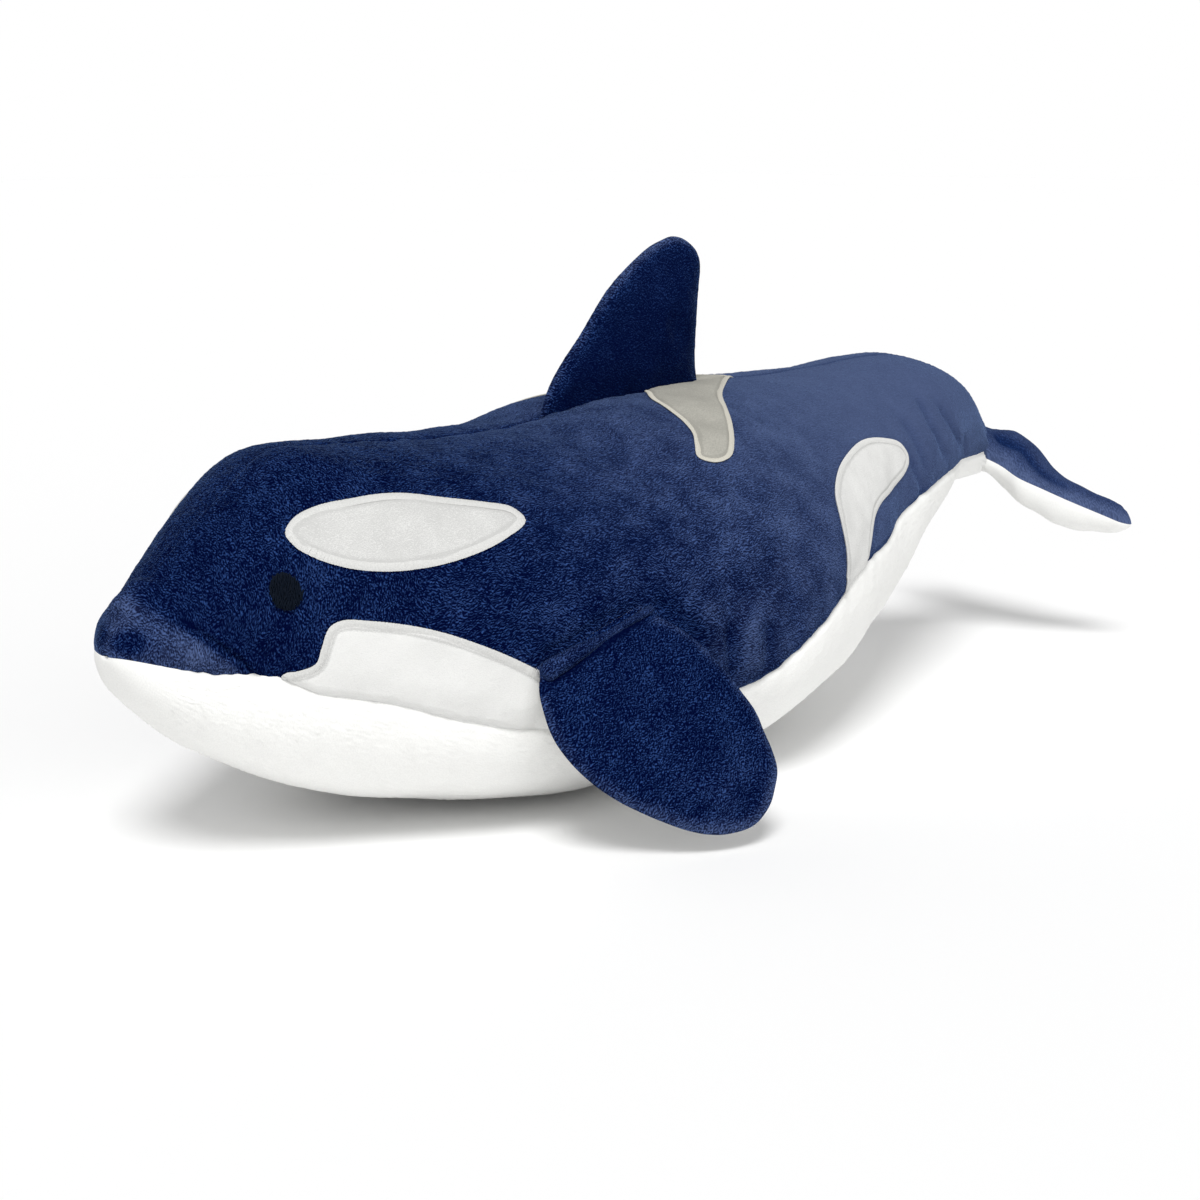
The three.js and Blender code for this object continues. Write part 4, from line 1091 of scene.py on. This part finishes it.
class Fin(Pillow):
    """A fin with its root along X and its span along Y. It goes on to a depth below its root.
    Fluff says how far the clumps of its pile stand out, and hem how wide its rolled hem is."""

    filling_share = 0.86  # of the cover's length and width
    filling_height = 0.8  # of the cover's height

    def __init__(self, shares, size, root_depth, frame_axes, spacing, fluff=1.0, hem=0):
        self.span, self.chord, self.thickness = span, chord, thickness = size
        self.root_depth, self.fluff, self.hem = root_depth, fluff, hem
        places, front, rear, thick = shares.T
        first = front[0] * chord
        front_edge, rear_edge = (
            np.stack([edge * chord - first, places * span], -1) for edge in (front, rear))
        below = np.array([[0, -root_depth]])
        outline = smooth_outline(np.concatenate([
            front_edge[:1] + below, front_edge, rear_edge[-2::-1], rear_edge[:1] + below]))
        keep = outline[:, 1] >= -root_depth - 0.2 * MM
        super().__init__(*frame_axes, outline[keep], spacing)
        self.half_chord = monotone_curve(places * span, (rear - front) * chord / 2)
        self.half_thick = monotone_curve(places * span, thick * thickness / 2)

    def rise(self):
        """Height of the pillow over its seam's plane, and the distance from its seam."""
        up = self.plane[:, 1]
        distance = distance_to_path(self.plane, self.sewn_edge())[0]
        widest = np.maximum(self.half_chord(up), 0.4 * self.chord / 2)
        tip = 0.45 * self.thickness / 2 * (up > 0.5 * self.span)
        rise = self.swelling(distance, widest, np.maximum(self.half_thick(up), tip))
        heel = np.clip(-up / self.root_depth, 0, 1)
        rise = rise * np.sqrt(np.maximum(0, 1 - heel**2))
        if self.hem:
            rise *= 0.2 + 0.8 * smooth_step(up - self.hem_edge(), -1.5 * MM, 4 * MM)
        return rise, distance

    def hem_edge(self):
        """Where the hem ends on the panel: it is narrower towards the rear."""
        share = np.clip(self.plane[:, 0] / self.outline[:, 0].max(), 0, 1)
        return self.hem * (1 - 0.75 * share)

    def sewn_edge(self):
        """The outline above the heel as one open line, starting at the front of the root."""
        sewn = self.outline[:, 1] > -self.root_depth + 0.4 * MM
        start = np.flatnonzero(~sewn)[-1] + 1
        return np.roll(self.outline, -start, 0)[np.roll(sewn, -start)]

    def panel(self, name, direction, finish, tone, seed):
        rise, distance = self.rise()
        up = self.plane[:, 1]
        dimple = 0.45 * MM * soft_lumps(self.flat, 17 * MM, seed)
        run = np.arctan2(*(self.plane - self.plane.mean(0)).T)
        pucker = 0.3 * MM * np.sin(run * 46 + 3 * np.sin(run * 5))
        pucker *= bell(distance - 2.5 * MM, 2.2 * MM)
        height = rise + (dimple + pucker) * smooth_step(distance, 0, 5 * MM)
        rng = np.random.default_rng(seed)
        height = height + rng.normal(0, 0.06 * MM, len(height)) * (distance > 0.2 * MM)
        # painted sheen along the seam, where the pile turns away, and more fluff there; lighter
        # towards the tip
        edge_fluff_and_sheen = 1 - smooth_step(distance, 0, 6 * MM)
        shade = tone + (0.3 - tone) * edge_fluff_and_sheen + 0.2 * smooth_step(up, 0.4 * self.span, self.span)
        # painted shade in the crease at the edge of the hem
        if self.hem:
            shade = shade - 0.8 * bell(up - self.hem_edge(), 1.1 * MM)
        fluff = self.fluff + (1 - self.fluff) * edge_fluff_and_sheen
        return self.cover(name, direction, direction * np.maximum(height, 0), shade, finish, fluff)

    def filling(self, name, nodes, body_name, bend=None):
        """The wad of fibre, a little smaller than its covers."""
        middle = np.array([self.plane[:, 0].mean(), self.span * 0.48])
        plane = (self.plane - middle) * self.filling_share + middle
        rise = np.maximum(self.rise()[0] * self.filling_height - 0.2 * MM, 0)
        points = np.concatenate([self.world(plane, rise), self.world(plane, -rise)])
        rim, count = len(self.outline), len(plane)
        under = [[i if i < rim else i + count for i in face][::-1] for face in self.faces]
        return filling_piece(name, points, self.faces + under, nodes, body_name, bend)


def roll_piece(name, origin, axes, length, thickness):
    """Rolled root hem along its own X axis, thinner towards the tail."""
    rows, columns = 96, 48
    t = np.linspace(0, 1, rows)[:, None]
    angle = np.linspace(0, math.tau, columns)[None]
    thinnest, rounded_end = 0.4, 0.05  # shares of its thickness and of its length
    radius = np.maximum(0.55 + 0.45 * np.cos(math.pi * t), thinnest) * thickness / 2
    closing = 1
    for from_end in (t, 1 - t):
        inner = 1 - np.clip(1 - from_end / rounded_end, 0, 1) ** 2
        closing = closing * np.sqrt(np.clip(inner, 0, 1))
    wobble = 1 + 0.03 * np.sin(t * 38) * np.cos(angle * 3)
    radius = radius * closing * wobble
    local = np.stack([t * length + 0 * angle, radius * np.cos(angle), radius * np.sin(angle)], -1)
    cloth = np.stack([t * length + 0 * angle, angle * thickness / 2 + 0 * t], -1) / CLOTH_UNIT
    faces = turned(grid_faces(rows, columns), np.linalg.det(axes) > 0)
    return mesh_object(name, origin + local @ axes, faces, cloth, 0.2, 0.0, "fin pile")


def root_axes(origin, along, span):
    """A fin's place and its axes as rows: along the root, up the span and out of its face."""
    along, span = unit(np.array(along, float)), unit(np.array(span, float))
    return np.array(origin, float), np.stack([along, span, np.cross(along, span)])


def back_fin_frame():
    """Place and axes of the back fin, which stands upright on its hinge."""
    joint = JOINTS["back_fin_sway"]
    axis = np.array(joint["axis"], float)
    return root_axes(joint["pos_m"], axis, np.cross([0, -1, 0], axis))


def side_fin_frame(body, side, splay):
    """Place and axes of a side fin, which hangs along the flank and is splayed out from it."""
    joint = JOINTS[f"side_fin_{SIDE_NAMES[side]}_flap"]
    axis = unit(np.array(joint["axis"], float)) * (1 if joint["axis"][0] > 0 else -1)
    places, levels = np.array(SIDE_FIN_ROOT).T
    place = places * body.length
    angles = body.angle_at(place, body.level(levels), side)
    out = body.normal(place, angles).sum(0)
    out = unit(out - axis * (out @ axis))
    down = np.cross(axis, out) * -side
    return root_axes(joint["pos_m"], axis, down * math.cos(splay) + out * math.sin(splay))


class Flukes(Pillow):
    """Both lobes of the tail as one pillow that droops towards its tips."""

    def __init__(self, sizes):
        self.sizes = sizes
        joint = JOINTS["fluke_flex"]
        back = np.array([math.cos(sizes.fluke_pitch), 0, -math.sin(sizes.fluke_pitch)])
        across = np.array([0, 1.0, 0])
        axes = np.stack([across, back, np.cross(back, across)])
        chord, thick = sizes.fluke_chord, sizes.fluke_thickness
        extents = [sizes.fluke_span / 2, chord, chord, thick, thick, sizes.fluke_droop]
        places, *rows = (FLUKE_SHARES * extents).T
        self.lead, self.trail, self.above, self.below, self.hang = (
            monotone_curve(places, row) for row in rows)
        lead, trail = (np.stack([places, row], -1) for row in rows[:2])
        outline = np.concatenate([
            lead, trail[-2::-1], trail[1:-1] * [-1, 1], lead[:0:-1] * [-1, 1]])
        origin = np.array(joint["pos_m"], float)
        super().__init__(origin, axes, smooth_outline(outline), sizes.fin_step)

    def panel(self, name, direction, finish, tone, seed):
        sizes = self.sizes
        across, along = np.abs(self.plane[:, 0]), self.plane[:, 1]
        distance = distance_to_path(self.plane, self.outline, True)[0]
        half = np.maximum((self.trail(across) - self.lead(across)) / 2, 0.12 * sizes.fluke_chord)
        full = self.above(across) if direction > 0 else self.below(across)
        rise = self.swelling(distance, half, np.maximum(full, 0.16 * sizes.fluke_thickness))
        rise += 0.3 * MM * soft_lumps(self.flat, 15 * MM, seed) * smooth_step(distance, 0, 4 * MM)
        right = smooth_step(self.plane[:, 0], 0, 0.3 * sizes.fluke_span / 2)
        creases = self.creases(across, along)
        if direction > 0:
            rise -= creases
        else:
            left = smooth_step(-self.plane[:, 0], 0, 6 * MM)
            left = left * (1 - 0.7 * smooth_step(across, 24 * MM, 46 * MM))
            tongue = 1 - smooth_step(along, -7 * MM, 2 * MM)
            tongue = tongue * (1 - smooth_step(across, 2 * MM, 7 * MM))
            rise *= (1 - 0.45 * right + 0.4 * left) * (1 - 0.85 * tongue)
        hang = self.hang(across) * (1 - sizes.right_fluke_lift * right)
        height = direction * np.maximum(rise, 0) - hang
        # painted sheen along the seam and painted shade in the creases
        shade = tone + 0.3 * (1 - smooth_step(distance, 0, 5 * MM)) - 200 * creases
        return self.cover(name, direction, height, shade, finish, 0.5)

    def creases(self, across, along):
        """Depth of the creases that run from the root into each lobe."""
        path = np.array(FLUKE_CREASE) * MM
        distance, share = distance_to_path(np.stack([across, along], -1), path)
        return 2.6 * MM * bell(distance, 3 * MM) * (1 - 0.6 * share)


# What a user would change


def number_property(name, about, default, **more):
    return bpy.props.FloatProperty(name=name, description=about, default=default, **more)


def length_property(name, about, default):
    return number_property(name, about, default, unit="LENGTH", precision=4)


def angle_property(name, about, degrees):
    return number_property(name, about, math.radians(degrees), subtype="ANGLE")


def colour_property(name, about, default):
    return bpy.props.FloatVectorProperty(
        name=name, description=about, default=default, size=3, min=0, max=1, subtype="COLOR")


class WhaleSizes(bpy.types.PropertyGroup):
    """Sizes of the sewn toy."""

    body_height: length_property("Body height", "Ground to the hump before the flukes", 0.132)
    body_width: length_property("Body width", "Across both flanks", 0.176)
    rest_depth: length_property("Rest depth", "How far the ground presses the belly flat", 0.0005)
    snout_rounding: length_property("Snout rounding", "Length of the rounded snout tip", 0.009)
    tail_rounding: length_property("Tail rounding", "Length of the tail's closed end", 0.006)
    seam_depth: length_property("Seam depth", "How deep the seams draw the cover in", 0.0024)
    seam_valley: length_property("Seam valley", "Half width of the dip beside a seam", 0.006)
    seam_wander: length_property("Seam wander", "How far the pile blurs a seam's line", 0.00022)
    lump_height: length_property("Lump height", "Uneven swelling of the filling", 0.00045)
    cover_step: length_property("Cover step", "Mesh spacing of the cover", 0.0012)
    fin_step: length_property("Fin step", "Mesh spacing of the fins", 0.0013)
    pile_unevenness: length_property("Pile unevenness", "Roughness of the pile's surface", 0.00009)
    eye_patch_length: length_property("Eye patch length", "Along the body", 0.070)
    eye_patch_height: length_property("Eye patch height", "Up the flank", 0.020)
    right_eye_patch_drop: length_property("Right eye patch drop", "Lower than the left one", 0.0025)
    cheek_patch_length: length_property("Cheek patch length", "Along the body", 0.078)
    cheek_patch_height: length_property("Cheek patch height", "Up the flank", 0.046)
    flank_patch_length: length_property("Flank patch length", "Along the body", 0.082)
    flank_patch_height: length_property("Flank patch height", "Up the flank", 0.058)
    saddle_length: length_property("Saddle patch length", "Along the back", 0.084)
    saddle_reach: length_property("Saddle patch reach", "Down the flank", 0.061)
    saddle_place: number_property("Saddle place", "Its front, of the body's length", 0.4445)
    eye_width: length_property("Eye width", "Across the embroidered eye", 0.0074)
    eye_height: length_property("Eye height", "Up the embroidered eye", 0.0104)
    eye_tilt: angle_property("Eye tilt", "Lean of the eye's top towards the tail", 14)
    back_fin_height: length_property("Back fin height", "Root to tip", 0.0545)
    back_fin_length: length_property("Back fin length", "Along the back", 0.085)
    back_fin_thickness: length_property("Back fin thickness", "Through the filling", 0.016)
    side_fin_span: length_property("Side fin span", "Root to tip", 0.0755)
    side_fin_width: length_property("Side fin width", "Across the fin", 0.065)
    side_fin_thickness: length_property("Side fin thickness", "Through the filling", 0.014)
    side_fin_splay: angle_property("Side fin splay", "From hanging along the flank", 20)
    fluke_span: length_property("Fluke span", "Tip to tip", 0.108)
    fluke_chord: length_property("Fluke chord", "Leading to trailing edge", 0.044)
    fluke_thickness: length_property("Fluke thickness", "Through the filling", 0.024)
    fluke_droop: length_property("Fluke droop", "How far the tips hang below the root", 0.0245)
    right_fluke_lift: number_property("Right fluke lift", "Share of the droop it lacks", 1.0)
    fluke_pitch: angle_property("Fluke pitch", "Trailing edge down", 10)


class WhaleThread(bpy.types.PropertyGroup):
    """Sizes of the satin-stitched borders."""

    width: length_property("Border width", "Length of a stitch across the widest border", 0.0027)
    pitch: length_property("Stitch pitch", "From one stitch to the next", 0.0003)
    crown: length_property("Stitch crown", "Height of a stitch's middle over its ends", 0.00025)
    thickness: length_property("Thread thickness", "Diameter of the thread", 0.0005)


class WhaleColours(bpy.types.PropertyGroup):
    """Colours of the cloth and thread."""

    # The navy runs from deep to light with the pile's tone, which holds painted light and shade as
    # well as the nap; gaps and tips are partly painted shade and highlight
    navy_deep: colour_property(
        "Navy, brushed down", "Gaps of dark pile", (0.0004, 0.002, 0.022))
    navy_light: colour_property(
        "Navy, brushed up", "Gaps of light pile", (0.050, 0.070, 0.14))
    navy_deep_tips: colour_property(
        "Navy tips, brushed down", "Fibre ends of dark pile", (0.024, 0.062, 0.205))
    navy_light_tips: colour_property(
        "Navy tips, brushed up", "Fibre ends of light pile", (0.118, 0.160, 0.30))
    navy_sheen: colour_property(
        "Navy sheen", "Sheen at the edges of the navy cloth", (0.35, 0.55, 1.0))
    white: colour_property(
        "White cloth", "Belly and the undersides of fins", (0.87, 0.87, 0.85))
    patch_white: colour_property(
        "Patch cloth", "Cheek, eye and flank patches", (0.72, 0.72, 0.705))
    grey: colour_property("Grey cloth", "Saddle patch", (0.44, 0.43, 0.385))
    white_thread: colour_property(
        "White thread", "Borders of the white patches", (0.65, 0.65, 0.635))
    cream_thread: colour_property(
        "Cream thread", "Border of the saddle patch", (0.57, 0.55, 0.48))
    eye_thread: colour_property("Eye thread", "Embroidered eyes", (0.0015, 0.004, 0.010))
    filling: colour_property("Filling", "Fibre inside", (0.9, 0.89, 0.86))


class WhaleStage(bpy.types.PropertyGroup):
    """Floor, light and camera."""

    key_strength: number_property("Key light", "Soft light from above the snout", 2.1)
    fill_strength: number_property("Fill light", "Wide low light from the left", 0.82)
    room_light: number_property("Room light", "Even light all round", 0.48)
    lens: number_property("Lens", "Focal length in millimetres", 65.28)


# Making the pieces


class WHALE_OT_body(bpy.types.Operator):
    """Sew the two side panels and the belly panel over the filling"""

    bl_idname = "whale.sew_body"
    bl_label = "Sew body"

    def execute(self, context):
        body = the_body()
        for side in (LEFT, RIGHT):
            name = SIDE_NAMES[side]
            piece = cover_panel(
                f"side_cover_{name}", body, lambda along: 0 * along,
                lambda along, k=side: k * body.seam_angle(along),
                SIDE_COLUMNS, "body pile", lambda *place: body_tone_with_painted_light(body, *place), side)
            attach(piece, "trunk", [f"side_panel_{name}"])
        belly = cover_panel(
            "belly_cover", body, body.seam_angle,
            lambda along: math.tau - body.seam_angle(along),
            BELLY_COLUMNS, "belly pile", lambda along, angle, points: 0.8 + 0 * along, 0)
        attach(belly, "trunk", ["belly_panel"])
        make_body_filling(body, FILLING_INSET)
        return {"FINISHED"}


class WHALE_OT_patches(bpy.types.Operator):
    """Sew on the eye, cheek, flank and saddle patches with their satin borders"""

    bl_idname = "whale.sew_patches"
    bl_label = "Sew patches"

    def execute(self, context):
        body, sizes, thread = the_body(), context.scene.whale_sizes, context.scene.whale_thread
        for kind, outline in patch_outlines(body, sizes).items():
            tone, share, height = PATCH_LOOKS[kind]
            grey, border = kind == "saddle_patch", share * thread.width
            cloth, slot = ("saddle pile", "grey_plush") if grey else ("patch pile", "white_plush")
            for side in (LEFT, RIGHT):
                name = f"{kind}_{SIDE_NAMES[side]}"
                lower = sizes.right_eye_patch_drop if name == "eye_patch_right" else 0
                patch = Patch(
                    name, side, body, outline - [0, lower], grey, height * MM, PATCH_STEP, tone)
                patch.cloth(cloth, slot, border)
                patch.stitches("cream satin" if grey else "white satin", slot, border, thread)
        return {"FINISHED"}


class WHALE_OT_eyes(bpy.types.Operator):
    """Embroider both eyes"""

    bl_idname = "whale.embroider_eyes"
    bl_label = "Embroider eyes"

    def execute(self, context):
        for side in (LEFT, RIGHT):
            make_eye(the_body(), context.scene.whale_sizes, side)
        return {"FINISHED"}


class WHALE_OT_back_fin(bpy.types.Operator):
    """Stuff and sew the back fin"""

    bl_idname = "whale.sew_back_fin"
    bl_label = "Sew back fin"

    def execute(self, context):
        sizes = context.scene.whale_sizes
        size = (sizes.back_fin_height, sizes.back_fin_length, sizes.back_fin_thickness)
        origin, axes = back_fin_frame()
        fin = Fin(BACK_FIN_SHARES, size, 6 * MM, (origin, axes), sizes.fin_step, fluff=0.85)
        out = 1 if axes[2, 1] < 0 else -1
        bend = (origin - axes[1] * 1 * MM, origin + axes[1] * 12 * MM)
        for name, direction in (("left", out), ("right", -out)):
            seed = 31 if direction > 0 else 32
            piece = fin.panel(f"back_fin_cover_{name}", direction, "fin pile", -0.6, seed)
            nodes = [f"back_fin_panel_{name}"] + (["back_fin_root_hem"] if name == "left" else [])
            attach(piece, "back_fin", nodes, bend=bend)
        fin.filling("back_fin_filling", ["back_fin_stuffing"], "back_fin", bend)
        return {"FINISHED"}


class WHALE_OT_side_fins(bpy.types.Operator):
    """Stuff and sew both side fins with their rolled root hems"""

    bl_idname = "whale.sew_side_fins"
    bl_label = "Sew side fins"

    def execute(self, context):
        sizes = context.scene.whale_sizes
        size = (sizes.side_fin_span, sizes.side_fin_width, sizes.side_fin_thickness)
        for side in (LEFT, RIGHT):
            name = f"side_fin_{SIDE_NAMES[side]}"
            origin, axes = side_fin_frame(the_body(), side, sizes.side_fin_splay)
            fin = Fin(SIDE_FIN_SHARES, size, 2 * MM, (origin, axes), sizes.fin_step, hem=4.5 * MM)
            outward = 1 if axes[2, 1] * side > 0 else -1
            for cover, direction, finish, tone, slot, node in (
                ("outer_cover", outward, "fin pile", -0.1, "navy_plush", "upper_panel"),
                ("inner_cover", -outward, "belly pile", 0.7, "white_plush", "lower_panel"),
            ):
                piece = fin.panel(f"{name}_{cover}", direction, finish, tone, 41)
                attach(piece, name, [f"{name}_{node}"])
            low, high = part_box(f"{name}_root_hem")
            length = (high.x - low.x) / abs(axes[0, 0]) * 0.97
            place = origin + axes[1] * 0.8 * MM + axes[2] * outward * 0.3 * MM
            hem = roll_piece(f"{name}_hem", place, axes, length, 6.4 * MM)
            attach(hem, name, [f"{name}_root_hem"])
            fin.filling(f"{name}_filling", [f"{name}_stuffing"], name)
        return {"FINISHED"}


class WHALE_OT_flukes(bpy.types.Operator):
    """Sew the tail flukes from their two covers, without a filling inside"""

    bl_idname = "whale.sew_flukes"
    bl_label = "Sew flukes"

    def execute(self, context):
        flukes = Flukes(context.scene.whale_sizes)
        back = flukes.axes[1]
        bend = (flukes.origin - back * 6 * MM, flukes.origin + back * 7 * MM)
        for layer, direction, finish, tone, slot, second in (
            ("upper", 1, "fin pile", 0.45, "navy_plush", "fluke_root_hem"),
            ("lower", -1, "belly pile", 0.7, "white_plush", "fluke_stuffing"),
        ):
            piece = flukes.panel(f"fluke_{layer}_cover", direction, finish, tone, 51)
            nodes = [f"fluke_{layer}_panel", second]
            attach(piece, "flukes", nodes, bend=bend)
        return {"FINISHED"}


class WHALE_OT_stage(bpy.types.Operator):
    """Set the white floor, the soft light and the camera"""

    bl_idname = "whale.set_stage"
    bl_label = "Set stage"

    def execute(self, context):
        scene, stage = context.scene, context.scene.whale_stage
        scene.view_settings.view_transform = "Standard"
        make_floor()
        scene.world = room_world(stage)
        add_sun("Key light", (-0.5, -0.45, 1.0), 22, stage.key_strength)
        add_sun("Fill light", (-0.3, -1.0, 0.12), 50, stage.fill_strength)
        scene.camera = make_camera(stage)
        return {"FINISHED"}


def make_floor():
    """A white floor that takes the object's soft shadow."""
    mesh = bpy.data.meshes.new("floor")
    reach, white = 9.0, (0.93, 0.93, 0.93)
    corners = [(-reach, -reach, 0), (reach, -reach, 0), (reach, reach, 0), (-reach, reach, 0)]
    mesh.from_pydata(corners, [], [(0, 1, 2, 3)])
    floor = placed("floor", mesh)
    floor.location.z = -0.0004  # under the whale, which stands on 0
    s = Shader(bpy.data.materials.new("floor_paper"))
    paper = s.add("ShaderNodeBsdfDiffuse", {"Color": colour(white)})
    mesh.materials.append(s.finish(paper))


def room_world(stage):
    """Plain white where the camera looks, and even light for everything else."""
    s = Shader(bpy.data.worlds.new("Room"))
    seen = path = s.add("ShaderNodeLightPath", out="Is Camera Ray")
    for ray in ("Is Glossy Ray", "Is Transmission Ray"):
        seen = seen.combine("MAXIMUM", path.output(ray))
    room, white = (
        s.add("ShaderNodeBackground", {"Color": colour((1, 1, 1)), "Strength": strength})
        for strength in (stage.room_light, 1.0))
    return s.finish(s.add("ShaderNodeMixShader", {0: seen, 1: room, 2: white}),
                    "ShaderNodeOutputWorld")


def add_sun(name, towards, spread, strength):
    """A wide soft light that falls evenly on the floor."""
    sun = bpy.data.lights.new(name, "SUN")
    sun.angle, sun.energy = math.radians(spread), strength
    placed(name, sun).rotation_euler = Vector(towards).to_track_quat("Z", "Y").to_euler()


def make_camera(stage):
    """The photograph's view: place from the snout's tip, and the direction as angles."""
    from_snout = Vector((-0.3429, -0.5402, 0.2191))
    azimuth, elevation = math.radians(-45.57), math.radians(12.1)
    camera = placed("Camera", bpy.data.cameras.new("Camera"))
    camera.data.lens = stage.lens
    camera.data.clip_start, camera.data.clip_end = 0.01, 40
    camera.location = from_snout + Vector((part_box("belly_panel")[0].x, 0, 0))
    level = math.cos(elevation)
    ahead = Vector((-math.sin(azimuth) * level, math.cos(azimuth) * level, -math.sin(elevation)))
    camera.rotation_euler = ahead.to_track_quat("-Z", "Y").to_euler()
    return camera


OPERATORS = (WHALE_OT_stage, WHALE_OT_body, WHALE_OT_patches, WHALE_OT_eyes, WHALE_OT_back_fin,
             WHALE_OT_side_fins, WHALE_OT_flukes)
SETTINGS = {"whale_sizes": WhaleSizes, "whale_thread": WhaleThread, "whale_colours": WhaleColours,
            "whale_stage": WhaleStage}


class WHALE_PT_panel(bpy.types.Panel):
    """Sizes, colours and steps of the plush whale"""

    bl_label = "Plush whale"
    bl_idname = "WHALE_PT_panel"
    bl_space_type = "VIEW_3D"
    bl_region_type = "UI"
    bl_category = "Plush"

    def draw(self, context):
        for key, kind in SETTINGS.items():
            box = self.layout.box()
            box.label(text=kind.__name__)
            for name in kind.__annotations__:
                box.prop(getattr(context.scene, key), name)
        for operator in OPERATORS:
            self.layout.operator(operator.bl_idname)


def register():
    for kind in (*SETTINGS.values(), *OPERATORS, WHALE_PT_panel):
        bpy.utils.register_class(kind)
    for key, kind in SETTINGS.items():
        setattr(bpy.types.Scene, key, bpy.props.PointerProperty(type=kind))


def unregister():
    for key in SETTINGS:
        delattr(bpy.types.Scene, key)
    for kind in (WHALE_PT_panel, *reversed(OPERATORS), *SETTINGS.values()):
        bpy.utils.unregister_class(kind)


def main():
    register()
    for operator in OPERATORS:
        space, name = operator.bl_idname.split(".")
        getattr(getattr(bpy.ops, space), name)()


if __name__ == "__main__":
    main()
